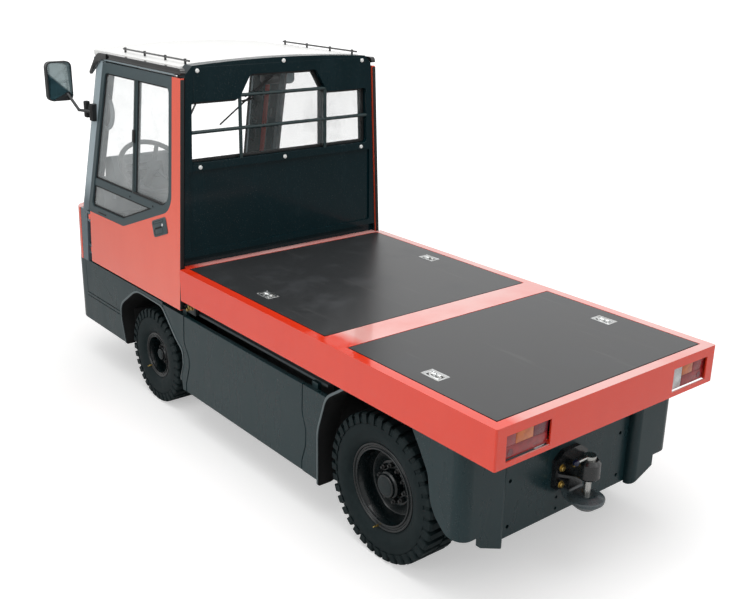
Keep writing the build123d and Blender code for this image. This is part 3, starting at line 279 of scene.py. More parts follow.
def fit(piece, paint, slot, *nodes, body="chassis", smooth=34):
    """Paint a finished piece, hang it on its body and hide the CAD nodes it stands for."""
    piece.data.materials.clear()
    piece.data.materials.append(paint.material)
    piece.data.name = piece.name
    alone(piece)
    bpy.ops.object.shade_smooth_by_angle(angle=radians(smooth))
    if nodes:
        apply(piece, "WEIGHTED_NORMAL", weight=80, keep_sharp=True)
    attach(piece, body)
    if nodes:
        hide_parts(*nodes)
    return piece


def copy_of(node, name):
    """A copy of a CAD node's mesh, its triangles merged into whole faces."""
    piece = bpy.data.objects.new(name, frame["nodes"][node].data.copy())
    bpy.context.scene.collection.objects.link(piece)
    alone(piece)
    bpy.ops.object.mode_set(mode="EDIT")
    bpy.ops.mesh.select_mode(type="VERT")
    bpy.ops.mesh.select_all(action="SELECT")
    bpy.ops.mesh.remove_doubles(threshold=0.00002)
    bpy.ops.mesh.customdata_custom_splitnormals_clear()
    bpy.ops.mesh.dissolve_limited(angle_limit=radians(0.5))
    alone()
    return piece


def finished(node, paint, edge, smooth=34):
    """A CAD node with its sharp edges rounded, shown in its place."""
    piece = copy_of(node, f"{node}_finished")
    round_edges(piece, edge)
    return fit(piece, paint, SLOTS[node], node, body=frame["nodes"][node]["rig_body"], smooth=smooth)


def cover(node, paint):
    """Give a CAD node its finish as it is."""
    mesh = frame["nodes"][node].data
    mesh.materials.clear()
    mesh.materials.append(paint.material)


deck_enamel = enamel(
    "deck_enamel", (244, 57, 15), (234, 49, 12), 0.1,
    IOR=1.6, Coat_Weight=0.42, Coat_Roughness=0.04, Coat_IOR=1.6,
)
outwards = deck_enamel.node("TexCoord", output="Normal")
upward_share = deck_enamel.node("SeparateXYZ", {"Vector": outwards}).output("Z")
off_left_edge = deck_enamel.between(deck_enamel.along("Y"), 0.5, 0.57, 1, 0)
# Painted reflection: faces that look up, away from the left edge, are paled towards pink by a varying amount,
# standing for the bright surround mirrored in them.
painted_reflection_mask = deck_enamel.between(upward_share, 0.9, 0.98) * off_left_edge
reflection_and_fade = painted_reflection_mask * deck_enamel.between(deck_enamel.noise(3, 4), 0.3, 0.6, 0.5, 0.75)
deck_enamel.tint(reflection_and_fade, deck_enamel.undercoat(), (246, 206, 200))
finished("deck_frame", deck_enamel, 2.5)


# Deck covers: two lift-out sheets with a dark non-slip coat, worn in patches by
# loads, each with two bright plates let in that hold a pull ring.
HALF_LENGTH = 1767.5


def point(x, y, z):
    """Millimetres from the deck's rear edge, the middle and the ground, as a place."""
    return Vector(((x - HALF_LENGTH) / 1000, y / 1000, z / 1000))


def made(name):
    """Name the piece just added and bring its place into its mesh."""
    piece = bpy.context.object
    piece.name = name
    bpy.ops.object.transform_apply()
    return piece


def block(name, x0, x1, y0, y1, z0, z1):
    """A cube between two corners, in millimetres, ready for shaping."""
    alone()
    low, high = point(x0, y0, z0), point(x1, y1, z1)
    bpy.ops.mesh.primitive_cube_add(size=1, location=(low + high) / 2, scale=high - low)
    return made(name)


def pick(piece, wanted):
    """Enter edit mode with just the faces that wanted(centre, normal) takes."""
    alone(piece)
    bpy.ops.object.mode_set(mode="EDIT")
    bpy.ops.mesh.select_mode(type="FACE")
    bpy.ops.mesh.select_all(action="DESELECT")
    bpy.ops.object.mode_set(mode="OBJECT")
    for face in piece.data.polygons:
        face.select = bool(wanted(face.center, face.normal))
    bpy.ops.object.mode_set(mode="EDIT")


def facing(axis, sign=1, share=0.9):
    """Faces to pick: those that look along an axis, or against it."""
    index = "XYZ".index(axis)
    return lambda centre, normal: normal[index] * sign > share


def every_face(centre, normal):
    """Faces to pick: all of them."""
    return True


def push(x=0.0, y=0.0, z=0.0):
    """Extrude the picked faces by so many millimetres."""
    bpy.ops.mesh.extrude_region_move(TRANSFORM_OT_translate={"value": (x / 1000, y / 1000, z / 1000)})


def shift(x=0.0, y=0.0, z=0.0):
    """Move the picked faces by so many millimetres."""
    bpy.ops.transform.translate(value=(x / 1000, y / 1000, z / 1000))


def scale(centre, x=1.0, y=1.0, z=1.0):
    """Scale what is picked about a place."""
    bpy.ops.transform.resize(value=(x, y, z), center_override=centre)


def inset(width):
    """Draw a border inside the picked faces, in millimetres."""
    bpy.ops.mesh.inset(thickness=width / 1000)


def step(piece, wanted, border, x=0.0, y=0.0, z=0.0):
    """Draw a border inside some faces and push what it frames out or in."""
    pick(piece, wanted)
    inset(border)
    push(x, y, z)
    alone()


def cut_away(piece, wanted):
    """Delete some faces."""
    pick(piece, wanted)
    bpy.ops.mesh.delete(type="FACE")
    alone()


def disc(name, centre, radius, depth, axis="Z", sides=24):
    """A short cylinder about X, Y or Z, in millimetres, ready for shaping."""
    alone()
    turned = {"X": (0, pi / 2, 0), "Y": (pi / 2, 0, 0), "Z": (0, 0, 0)}[axis]
    bpy.ops.mesh.primitive_cylinder_add(
        vertices=sides, radius=radius / 1000, depth=depth / 1000, location=centre, rotation=turned
    )
    return made(name)


def torus(name, centre, bend, wire, steps, sides, turn=0.0):
    """A ring of round wire, in metres, tipped over about X, ready for shaping."""
    alone()
    bpy.ops.mesh.primitive_torus_add(
        location=centre, rotation=(turn, 0, 0), major_radius=bend, minor_radius=wire,
        major_segments=steps, minor_segments=sides,
    )
    return made(name)


def join(name, *pieces):
    """Make one piece of several."""
    alone(*pieces)
    bpy.context.view_layer.objects.active = pieces[0]
    if len(pieces) > 1:
        bpy.ops.object.join()
    pieces[0].name = name
    return pieces[0]


def moved_copy(piece, name, move):
    """A copy of a piece, moved by a matrix."""
    copy = piece.copy()
    copy.data = piece.data.copy()
    copy.name = name
    copy.data.transform(move)
    bpy.context.scene.collection.objects.link(copy)
    return copy


def repeat(piece, *moves):
    """A piece and its copies, each moved by one (x, y, z) in millimetres, as one."""
    copies = [moved_copy(piece, "copy", Matrix.Translation(Vector(move) / 1000)) for move in moves]
    return join(piece.name, piece, *copies)


def twin(piece, name, y=0.0):
    """A mirrored copy on the other side of a plane across Y."""
    mirror = Matrix.Translation((0, y / 500, 0)) @ Matrix.Diagonal((1, -1, 1, 1))
    copy = moved_copy(piece, name, mirror)
    copy.data.flip_normals()
    return copy


def both_sides(piece, paint, slot, *nodes, body="chassis"):
    """Fit a left piece, and its twin on the right."""
    other = twin(piece, piece.name.replace("left", "right"))
    fit(piece, paint, slot, *nodes, body=body)
    other_nodes = [node.replace("left", "right") for node in nodes]
    fit(other, paint, slot, *other_nodes, body=body.replace("left", "right"))


cover_coat = Paint("cover_coat", Specular_IOR_Level=0.6)
grit = cover_coat.noise(900, 2, 0.6)
worn = cover_coat.between(cover_coat.noise(5, 6, 0.65), 0.5, 0.78)
scuffs = cover_coat.between(cover_coat.noise(14, 3, 0.6, stretch=(0.12, 2.2, 1)), 0.63, 0.7)
tone = cover_coat.blend(worn, (45, 46, 47), (60, 62, 64))
cover_coat.tint(scuffs * 0.14, tone, (112, 112, 110))
cover_coat.gloss(grit * 0.4 + worn * 0.6, 0.3, 0.44, 0, 1)
cover_coat.bumps(grit, 0.16, 0.0005)

zinc = Paint("zinc_plate", Metallic=1.0)
lines = zinc.noise(300, 2, stretch=(1, 0.06, 1))
stain = zinc.noise(40, 4)
zinc.gloss(lines * 0.5 + stain * 0.5, 0.2, 0.4)
zinc.tint(zinc.between(stain, 0.45, 0.75), (222, 224, 224), (168, 164, 156))
zinc.bumps(lines, 0.1, 0.0003)

PLATE_LOW, PLATE_TOP = 855, 861.5
RING_Y, RING_HEIGHT = 504, 854.5
RING_BEND, RING_WIRE = 0.0165, 0.0036
# Covers: node, x of its rings
for node, x in (("cover_rear", 467.5), ("cover_front", 1617)):
    finished(node, cover_coat, 1.5)
    plates, rings = [], []
    for y in (-RING_Y, RING_Y):
        plate = block("ring_plate", x - 50, x + 50, y - 31, y + 31, PLATE_LOW, PLATE_TOP)
        pick(plate, facing("Z"))
        inset(10.5)
        shift(0, 0, -2.2)
        inset(2.0)
        push(0, 0, -9.5)
        alone()
        cut_away(plate, facing("Z", -1))
        round_edges(plate, 1.2)
        rivet = disc("rivet", point(x - 43, y - 25, 862), 3.2, 1.6, sides=14)
        round_edges(rivet, 0.6, 1)
        repeat(rivet, (86, 0, 0), (0, 50, 0), (86, 50, 0))
        plates += [plate, rivet]
        middle = point(x, y, RING_HEIGHT)
        ring = torus("ring", middle, RING_BEND, RING_WIRE, 40, 12)
        pick(ring, every_face)
        scale(middle, 1.72, 0.86, 1)
        bpy.ops.transform.rotate(value=radians(6), orient_axis="Y", center_override=middle)
        alone()
        sleeve = disc("sleeve", point(x - 4, y - 14, RING_HEIGHT), 6.2, 24, "X", 20)
        pick(sleeve, lambda centre, normal: abs(normal.x) > 0.9)
        inset(2)
        alone()
        round_edges(sleeve, 0.8, 1)
        rings += [ring, sleeve]
    fit(join(f"ring_plates_{node[6:]}", *plates), zinc, "bare_steel", body=node)
    fit(join(f"pull_rings_{node[6:]}", *rings), zinc, "bare_steel", body=node, smooth=50)


# Rear lamps: moulded lenses with ribs behind them, each on a black box let
# into a window of the fascia. The right one has a clear cell for reversing.
def lens_paint(name, bright, deep, pitch):
    """Moulded clear plastic: fine ribs both ways, deeper where they are thick."""
    paint = Paint(name, Roughness=0.12, Coat_Weight=0.8, Coat_Roughness=0.03, IOR=1.5)
    rows = {"Vector": paint.place, "Scale": pitch, "Distortion": 0.3}
    bars = paint.node("TexWave", rows, bands_direction="Z")
    posts = paint.node("TexWave", {"Vector": paint.place, "Scale": pitch * 0.8}, bands_direction="Y")
    cell = paint.between(paint.noise(26, 2), 0.35, 0.7)
    ribs = bars.output("Fac") * 0.5 + posts.output("Fac") * 0.5
    paint.tint(ribs * 0.45 + cell * 0.55, deep, bright)
    paint.gloss(paint.noise(300, 2), 0.06, 0.16)
    paint.bumps(ribs, 0.35, 0.0012)
    return paint


red_lens = lens_paint("red_lens", (176, 34, 40), (112, 14, 24), 90)
wine_lens = lens_paint("wine_lens", (128, 34, 50), (88, 18, 34), 120)
amber_lens = lens_paint("amber_lens", (232, 128, 38), (176, 74, 18), 60)
clear_lens = lens_paint("clear_lens", (236, 238, 238), (140, 144, 146), 45)
trim = enamel("trim_black", (22, 25, 27), (30, 33, 35), 0.34)

LAMP_EDGE, LAMP_WIDE = 593, 222
LOWER_ROW, UPPER_ROW, FULL_HEIGHT = (721, 768), (769, 817), (721, 817)
# Lens cells: paint, from and to in from the lamp's outer edge, heights; the left
# lamp's, then the right one's
CELLS = {
    "left": (
        (red_lens, 0, LAMP_WIDE, LOWER_ROW), (red_lens, 0, 56, UPPER_ROW),
        (amber_lens, 57, 146, UPPER_ROW), (wine_lens, 147, LAMP_WIDE, UPPER_ROW),
    ),
    "right": (
        (red_lens, 0, 151, LOWER_ROW), (red_lens, 0, 78, UPPER_ROW),
        (amber_lens, 79, 151, UPPER_ROW), (clear_lens, 152, LAMP_WIDE, FULL_HEIGHT),
    ),
}
for side, sign in (("left", 1), ("right", -1)):
    edge = sign * LAMP_EDGE
    box = block(f"lamp_box_{side}", 15, 72, *sorted((edge, edge - sign * LAMP_WIDE)), 720.6, 817.4)
    step(box, facing("X"), 14, 6)
    round_edges(box, 2)
    fit(box, trim, "black_trim", "rear_lamps")
    for index, (paint, outer, inner, heights) in enumerate(CELLS[side]):
        y0, y1 = sorted((edge - sign * outer, edge - sign * inner))
        cell = block(f"{paint.material.name}_{side}_{index}", 13, 20, y0, y1, *heights)
        step(cell, facing("X", -1), 3, -1.4)
        round_edges(cell, 1.4, 3)
        fit(cell, paint, "lamp_lens")
    spot = disc(f"reflector_{side}", point(11.6, edge - sign * 30, 744), 14, 2.4, "X", 32)
    step(spot, facing("X", -1), 1.6, 0.7)
    round_edges(spot, 0.4, 1)
    fit(spot, wine_lens, "lamp_lens")

# Chassis: rails, cross members, battery well and axles in matt black, with
# road dust on them, and the black rubberised linings of the wheel openings.
chassis_black = enamel("chassis_black", (12, 14, 16), (24, 26, 27), 0.46)
for node in (
    "frame_rails", "battery_well", "rear_axle", "front_axle", "drive_motor", "battery", "knuckle_left",
    "knuckle_right", "cab_floor",
):
    cover(node, chassis_black)
lining = Paint("arch_lining", Specular_IOR_Level=0.3)
grain = lining.noise(260, 3)
splashed = lining.between(lining.noise(7, 5), 0.45, 0.8)
lining.tint(splashed, (13, 14, 15), (30, 31, 31))
lining.gloss(grain, 0.62, 0.8)
lining.bumps(grain, 0.3, 0.0012)
cover("arch_liners", lining)

# Rear plate and tow coupling: a thick plate with open bolt holes, and a
# cast jaw on it with a spoon-shaped lower lip, held by four plated bolts. Over
# it a small lamp hangs under the deck's rear edge.
body_enamel = enamel(
    "body_enamel", (18, 42, 46), (25, 50, 54), 0.26,
    Specular_IOR_Level=0.28, Coat_Weight=0.14, Coat_Roughness=0.14,
)
finished("rear_plate", body_enamel, 1.5)
cast = Paint("coupling_casting", IOR=1.5, Coat_Weight=0.4, Coat_Roughness=0.2)
skin = cast.noise(150, 3)
low_lip = cast.between(cast.along("Z"), 0.34, 0.352, 1, 0)
soot = cast.blend(cast.noise(20, 3), (13, 16, 18), (24, 28, 30))
cast.tint(low_lip, soot, (70, 82, 86))
cast.gloss(skin, 0.22, 0.38)
cast.bumps(skin, 0.22, 0.0014)
finished("tow_coupling", cast, 2.5)

pin_steel = Paint("pin_steel")
knob = pin_steel.between(pin_steel.along("Y"), 0.0715, 0.0725)
streak = pin_steel.noise(240, 2, stretch=(1, 1, 0.1))
bare = pin_steel.blend(streak, (206, 208, 206), (150, 148, 142))
pin_steel.tint(knob, bare, (16, 24, 58))
pin_steel.drive("Metallic", 1 - knob)
pin_steel.gloss(streak, 0.2, 0.36)
pin_steel.bumps(streak, 0.1, 0.0003)
cover("coupling_pin", pin_steel)

yellow_zinc = Paint("yellow_zinc", Metallic=1.0)
cloud = yellow_zinc.noise(160, 3)
yellow_zinc.tint(cloud, (214, 186, 112), (156, 128, 66))
yellow_zinc.gloss(cloud, 0.22, 0.4)
yellow_zinc.bumps(cloud, 0.1, 0.0003)


def hexagon(name, centre, radius, height, out, axis="X"):
    """A hexagon head on a washer; out is 1 or -1 along its axis."""
    rise = Vector([out * height / 2000 if letter == axis else 0 for letter in "XYZ"])
    head = disc(name, centre + rise, radius, height, axis, 6)
    step(head, facing(axis, out, 0.2), radius * 0.14, *(rise.normalized() * height * 0.1))
    round_edges(head, 0.5, 1)
    washer = disc("washer", centre + rise * 0.15, radius * 1.3, height * 0.3, axis, 28)
    round_edges(washer, 0.5, 1)
    return join(name, head, washer)


bolts = [hexagon("bolt", point(166, y, z), 12.5, 10, -1) for y in (-75, 75) for z in (378, 452)]
fit(join("coupling_bolts", *bolts), yellow_zinc, "bare_steel")
grease_cap = disc("grease_nipple", point(126, 44, 470), 5, 10, "Y", 20)
pick(grease_cap, facing("Y"))
inset(1.6)
push(0, 5, 0)
inset(0.8)
push(0, 3, 0)
alone()
round_edges(grease_cap, 0.5, 1)
fit(grease_cap, yellow_zinc, "bare_steel")
plate_lamp = block("plate_lamp", 64, 104, 322, 372, 676, 696.5)
step(plate_lamp, facing("Z", -1), 5, 0, 0, -6)
step(plate_lamp, facing("X", -1), 4, -4)
round_edges(plate_lamp, 1.5)
fit(plate_lamp, clear_lens, "lamp_lens")

# Lower body: pressed panels between the wheels, fenders and rear corner
# fairings in dark grey-green, with lips round the wheel openings painted grey as
# a highlight along their edges, a flap in front of each front wheel and black
# strips behind the panels' seams.
for node, edge in (("side_panels", 4), ("fenders", 3), ("rear_fairings", 5), ("front_bumper", 3)):
    finished(node, body_enamel, edge)
# Painted highlight: the lips' grey stands for the thin line of light caught along the dark arch edges.
lip_highlight_paint = enamel("lip_highlight_grey", (92, 104, 107), (78, 90, 93), 0.3)
lips = copy_of("arch_liners", "arch_lips")
cut_away(lips, lambda centre, normal: abs(normal.y) < 0.9 or abs(centre.y) < 0.6415)
for sign in (1, -1):
    pick(lips, facing("Y", sign))
    push(0, 2.5 * sign, 0)
    alone()
round_edges(lips, 1, 1)
fit(lips, lip_highlight_paint, "pillar_paint")
sheet = block("splash_sheet_left", 2893, 2899.8, 316, 571, 350, 430)
step(sheet, facing("X", -1), 7, -0.6)
round_edges(sheet, 1.2)
both_sides(sheet, lining, "black_trim")
strips = [block("strip", x0, x1, 613, 616.6, 198, 612) for x0, x1 in ((1100, 1196), (2140, 2202))]
for strip in strips:
    step(strip, facing("Y", -1), 8, 0, -4)
both_sides(join("seam_backing_left", *strips), chassis_black, "chassis_paint")

# Sill channels: grey folded channels under the deck's sides, and a black
# junction box with plated unions at the front end of each.
cover("sill_rails", enamel("channel_grey", (62, 70, 73), (74, 82, 85), 0.34))
box = block("junction_box_left", 2096, 2180, 600.5, 622, 634, 692)
step(box, facing("Y"), 5, 0, 3)
round_edges(box, 2)
both_sides(box, trim, "black_trim")
unions = []
for x, z, size in ((2116, 672, 7.5), (2142, 676, 6), (2160, 655, 7)):
    union = hexagon("union", point(x, 624.6, z), size, 6, 1, "Y")
    step(union, lambda centre, normal: normal.y > 0.9 and centre.y > 0.6305, 2, 0, 5)
    unions.append(union)
both_sides(join("brass_unions_left", *unions), yellow_zinc, "bare_steel")

# Headlamps: plated bowls let into the bumper with a bulb in the middle, each
# behind a round glass that bulges a little and is ribbed.
chrome = Paint("lamp_chrome", Metallic=1.0)
chrome.tint(chrome.noise(8), (226, 228, 230), (206, 208, 210))
chrome.gloss(chrome.noise(30), 0.05, 0.12)
chrome.bumps(chrome.noise(90, 2), 0.03, 0.0003)
lamp_glass = Paint("headlamp_glass", (226, 232, 232), Roughness=0.05, IOR=1.5)
ripple = lamp_glass.node("TexWave", {"Vector": lamp_glass.place, "Scale": 26}, bands_direction="Y")
flutes = ripple.output("Fac")
lamp_glass.drive("Alpha", lamp_glass.between(flutes, 0, 1, 0.2, 0.5))
lamp_glass.gloss(lamp_glass.noise(40), 0.03, 0.1)
lamp_glass.bumps(flutes, 0.5, 0.002)
for side, sign in (("left", 1), ("right", -1)):
    y, z = sign * 430, 530
    bowl = disc(f"headlamp_bowl_{side}", point(3497, y, z), 71.5, 64, "X", 56)
    pick(bowl, facing("X"))
    inset(5)
    for depth, x, share in ((14, 3515, 0.9), (20, 3495, 0.6), (8, 3487, 0.5)):
        push(-depth, 0, 0)
        scale(point(x, y, z), 1, share, share)
    push(26, 0, 0)
    alone()
    round_edges(bowl, 1.2)
    fit(bowl, chrome, "lamp_lens", "headlamps", smooth=50)
    lens = disc(f"headlamp_glass_{side}", point(3523.5, y, z), 66.3, 5, "X", 56)
    for width, rise in ((8, 1.4), (14, 1.2), (16, 0.8)):
        pick(lens, facing("X", 1, 0.98))
        inset(width)
        shift(rise, 0, 0)
        alone()
    round_edges(lens, 1, 1)
    fit(lens, lamp_glass, "clear_glass", smooth=60)

# Cab shell: a bent steel nose under the windscreen and grey corner pillars,
# dark inside, with a black rubber seal in the gap in front of each door.
cab_enamel = enamel(
    "cab_enamel", (255, 98, 68), (248, 86, 58), 0.1,
    IOR=1.6, Coat_Weight=0.9, Coat_Roughness=0.06, Coat_IOR=1.6,
)
finished("cab_nose", cab_enamel, 3)
# How far the cab's sides and its windscreen lean in, for each metre up
SIDE_SLOPE, SCREEN_SLOPE = 0.052, 0.272
pillar_grey = enamel(
    "pillar_grey", (172, 188, 194), (160, 176, 183), 0.26, Coat_Weight=0.4, Coat_Roughness=0.08
)
side_depth = pillar_grey.sideways() + pillar_grey.along("Z") * SIDE_SLOPE
screen_depth = pillar_grey.along("X") + pillar_grey.along("Z") * SCREEN_SLOPE
from_side = pillar_grey.between(side_depth, 0.660, 0.663, 1, 0)
from_front = pillar_grey.between(screen_depth, 1.9, 1.903, 1, 0)
inside = from_side * from_front
stripe_end = pillar_grey.between(screen_depth, 1.879, 1.881, 1, 0)
stripe = pillar_grey.between(screen_depth, 1.855, 1.857) * stripe_end
lining_tone = pillar_grey.blend(stripe, (18, 42, 46), (150, 44, 30))
below_sill = pillar_grey.between(pillar_grey.along("Z"), 0.98, 1.12, 0.9, 0)
outer_tone = pillar_grey.blend(below_sill, pillar_grey.undercoat(), (66, 84, 93))
pillar_grey.tint(inside, outer_tone, lining_tone)
finished("cab_pillars", pillar_grey, 3)
rubber_black = Paint("seal_rubber", Specular_IOR_Level=0.35)
fine = rubber_black.noise(420)
rubber_black.tint(rubber_black.noise(12, 4), (10, 11, 12), (26, 27, 28))
rubber_black.gloss(fine, 0.45, 0.62)
rubber_black.bumps(fine, 0.12, 0.0004)
seal = block("door_gap_seal_left", 3290, 3307.5, 602, 620, 648, 922)
step(seal, facing("Y"), 4, 0, 1.5)
round_edges(seal, 2)
both_sides(seal, rubber_black, "black_trim")


# Cab glass: the windscreen and the rear pane, clear safety glass with a
# black rubber bead round each, and a small wiper hung over the rear pane.
def glazing(name, colour, low, high):
    """Safety glass: its film of dust is what shows of it."""
    paint = Paint(name, colour, Roughness=0.02, IOR=1.45)
    film = paint.between(paint.noise(4, 4), 0.45, 0.8)
    paint.tint(film, colour, (236, 240, 240))
    paint.gloss(film, 0.0, 0.05, 0, 1)
    paint.drive("Alpha", paint.between(film, 0, 1, low, high))
    paint.bumps(paint.noise(1.5, 1), 0.03, 0.002)
    return paint


def bead(node, name, wanted, width, rise, body="chassis"):
    """A rubber bead on the edge of a pane, on the faces that wanted takes."""
    piece = copy_of(node, name)
    cut_away(piece, lambda centre, normal: not wanted(centre, normal))
    pick(piece, every_face)
    inset(width)
    bpy.ops.mesh.delete(type="FACE")
    alone()
    pick(piece, every_face)
    push(*rise)
    alone()
    round_edges(piece, 1.2, 1)
    fit(piece, rubber_black, "black_trim", body=body)


cover("cab_glass", glazing("cab_glazing", (214, 222, 222), 0.04, 0.09))
bead("cab_glass", "screen_bead", facing("X", 1, 0.8), 15, (3, 0, 0))
bead("cab_glass", "rear_pane_bead", lambda centre, normal: normal.x < -0.9 and centre.x < 0.6, 9, (-5, 0, 0))


def bar(name, start, end, wide, thick):
    """A flat bar between two places on the rear pane, its edges chamfered."""
    run = end - start
    back_x, front_x = HALF_LENGTH - thick / 2, HALF_LENGTH + thick / 2
    piece = block(name, back_x, front_x, -wide / 2, wide / 2, 0, run.length * 1000)
    for sign in (1, -1):
        pick(piece, facing("Z", sign))
        push(0, 0, 3 * sign)
        scale(Vector((0, 0, 0 if sign < 0 else run.length)), 0.8, 0.6, 1)
        alone()
    round_edges(piece, min(wide, thick) * 0.2, 1)
    piece.data.transform(Matrix.Translation(start) @ run.to_track_quat("Z", "X").to_matrix().to_4x4())
    return piece


pivot, joint = point(2232, 54, 1766), point(2229, 206, 1664)
# Two arms side by side, the joint between them and the blade, and the rubber blade
wiper_arm = bar("rear_wiper_arm", pivot, joint, 8, 5)
wiper_link = bar("rear_wiper_link", point(2231, 76, 1764), point(2229, 218, 1676), 4, 4)
wiper_joint = bar("rear_wiper_joint", point(2229, 184, 1664), point(2229, 236, 1656), 17, 9)
wiper_blade = bar("rear_wiper_blade", point(2231.5, 96, 1742), point(2231.5, 366, 1552), 6, 7)
wiper = join("rear_wiper", wiper_arm, wiper_link, wiper_joint, wiper_blade)
fit(wiper, rubber_black, "black_trim")
motor = disc("rear_wiper_motor", point(2288, 30, 1752), 32, 84, "Y", 32)
foot = block("motor_foot", 2266, 2310, -16, 76, 1752, 1792)
pick(foot, facing("Z"))
scale(point(2288, 30, 1792), 1.3, 1.15, 1)
alone()
motor = join("rear_wiper_motor", motor, foot)
round_edges(motor, 1.35)
fit(motor, trim, "black_trim")

# Doors: red steel skins with grey-framed windows, the upper rear pane on a
# slide, a sunk handle plate with its lock, and a rubber edge behind.
frame_paint = enamel("window_frame", (54, 70, 74), (64, 80, 84), 0.3)
post_paint = enamel("window_post", (16, 38, 40), (24, 48, 50), 0.25)
door_glazing = glazing("door_glazing", (232, 238, 239), 0.2, 0.3)
SIDE_LEAN = atan(SIDE_SLOPE)


def side_y(z):
    """How far out the cab's side stands at a height."""
    return 650 - SIDE_SLOPE * (z - 640)


def lean(piece, x, z):
    """Move a piece made at the origin out to the left door's leaning side."""
    side = point(x, side_y(z), z)
    piece.data.transform(Matrix.Translation(side) @ Matrix.Rotation(SIDE_LEAN, 4, "X"))
    return piece


def flat_block(name, wide, high, y0, y1, x=0.0, z=0.0):
    """A cube by the origin, in millimetres, between two depths."""
    middle = HALF_LENGTH + x
    return block(name, middle - wide / 2, middle + wide / 2, y0, y1, z - high / 2, z + high / 2)


def round_corners(piece, radius, segments=4):
    """Round the four corners of a plate that faces along Y."""
    pick(piece, lambda centre, normal: False)
    bpy.ops.mesh.select_mode(type="EDGE")
    alone(piece)
    for line in piece.data.edges:
        one, two = (piece.data.vertices[index].co for index in line.vertices)
        line.select = abs(two.y - one.y) > 0.9 * (two - one).length
    bpy.ops.object.mode_set(mode="EDIT")
    bpy.ops.mesh.bevel(offset=radius / 1000, segments=segments, affect="EDGES")
    alone()


plate = flat_block("handle_plate", 156, 86, -6, 3)
round_corners(plate, 14)
step(plate, facing("Y"), 3, 0, 1)
round_edges(plate, 1)
recesses = []
# Sunk grips of the handle: length, height, middle along and up the plate, depth
for wide, high, x, z, depth in ((112, 13, 5, 28, 1.2), (92, 30, 14, -19, 1.6)):
    recess = flat_block("recess", wide, high, 2.6, 4.8, x, z)
    round_corners(recess, 5, 3)
    step(recess, facing("Y"), 2, 0, -depth)
    recesses.append(recess)
lever = flat_block("lever", 66, 7, 3, 6, 12, -1)
step(lever, facing("Y"), 1.5, 0, 1)
recesses = join("handle_recesses", *recesses, lever)
lock = disc("door_lock", point(HALF_LENGTH - 37, 4.4, 7), 8, 4, "Y", 32)
pick(lock, facing("Y"))
inset(1.6)
push(0, -0.8, 0)
inset(3.2)
push(0, 0.8, 0)
alone()
round_edges(lock, 0.4, 1)
for piece in (plate, recesses, lock):
    piece.data.transform(Matrix.Rotation(radians(20), 4, "Y"))
    lean(piece, 2413, 1027)

screws = []
for x, z in ((2762, 1116), (2503, 1116)):
    screw = disc("screw", point(HALF_LENGTH, -5.5, 0), 5, 3, "Y", 24)
    step(screw, facing("Y"), 2.6, 0, -1)
    round_edges(screw, 0.5, 1)
    screws.append(lean(screw, x, z))
screws = join("rail_screws", *screws)

# Dark fittings of the window: x, z, length, height, how far out, turn
fittings = []
for x, z, wide, high, out, turned_by in (
    (3101, 952, 96, 8, 0.4, 0), (2551, 1148, 344, 11, -3, 0), (2700, 1446, 26, 64, 2, -3.9),
    (2697, 1441, 22, 590, -4.5, -3.9),
):
    fitting = flat_block("fitting", wide, high, out - 9, out)
    step(fitting, facing("Y"), min(wide, high) * 0.22, 0, 1.2)
    round_edges(fitting, 0.8, 1)
    fitting.data.transform(Matrix.Rotation(radians(turned_by), 4, "Y"))
    fittings.append(lean(fitting, x, z))
post = fittings.pop()
post.name = "window_post"
fittings = join("window_fittings", *fittings)

# The seal on the door's rear edge, in its side's own plane
edge = flat_block("door_edge_seal", 7, 1140, -17.5, 0.5, -1.5, 576)
step(edge, facing("X", -1), 2, -1)
round_edges(edge, 1.5)
lean(edge, 2202, 640)

for piece, paint, slot in (
    (plate, frame_paint, "black_trim"), (recesses, rubber_black, "black_trim"),
    (lock, chrome, "bare_steel"), (screws, rubber_black, "bare_steel"),
    (fittings, rubber_black, "black_trim"), (post, post_paint, "black_trim"),
    (edge, rubber_black, "black_trim"),
):
    piece.name += "_left"
    both_sides(piece, paint, slot, body="door_left")
for side, sign in (("left", 1), ("right", -1)):
    finished(f"door_skin_{side}", cab_enamel, 3)
    finished(f"door_window_{side}", frame_paint, 2)
    cover(f"door_glass_{side}", door_glazing)
    rise = (0, 4 * sign, 0)
    bead(f"door_glass_{side}", f"door_glass_bead_{side}", facing("Y", sign), 9, rise, f"door_{side}")

# Cab rear wall: a deep pressed wall with a bolted plate round the window,
# bolts under white caps, and a guard of round bars let into the opening.
wall_enamel = enamel(
    "wall_enamel", (0, 26, 31), (3, 33, 39), 0.2,
    Specular_IOR_Level=0.12, Coat_Weight=0.16, Coat_Roughness=0.1,
)
finished("cab_rear_wall", wall_enamel, 2.5)
WINDOW_X, WINDOW_Y, WINDOW_LOW, WINDOW_TOP = 2206, 543, 1341, 1838
window_plate = block("window_plate", 2202.8, 2206.4, -WINDOW_Y, WINDOW_Y, WINDOW_LOW, WINDOW_TOP)
for sign in (1, -1):
    for start, look in (
        (point(WINDOW_X, 515 * sign, WINDOW_TOP), (0, sign * 0.78, 0.62)),
        (point(WINDOW_X, WINDOW_Y * sign, WINDOW_LOW), (0, sign, SIDE_SLOPE)),
    ):
        pick(window_plate, every_face)
        bpy.ops.mesh.bisect(plane_co=start, plane_no=look, clear_outer=True, use_fill=True)
alone()
hole = copy_of("cab_glass", "window_hole")
cut_away(hole, lambda centre, normal: centre.x > 0.6)
stretched = Matrix.Translation(point(2205, 0, 0)) @ Matrix.Scale(4, 4, (1, 0, 0))
hole.data.transform(stretched @ Matrix.Translation(-point(2239, 0, 0)))
apply(window_plate, "BOOLEAN", operation="DIFFERENCE", object=hole, solver="EXACT")
bpy.data.objects.remove(hole)
round_edges(window_plate, 1, 1)
fit(window_plate, wall_enamel, "wall_paint")
cap_white = enamel("cap_white", (236, 238, 236), (222, 224, 222), 0.3)
caps = []
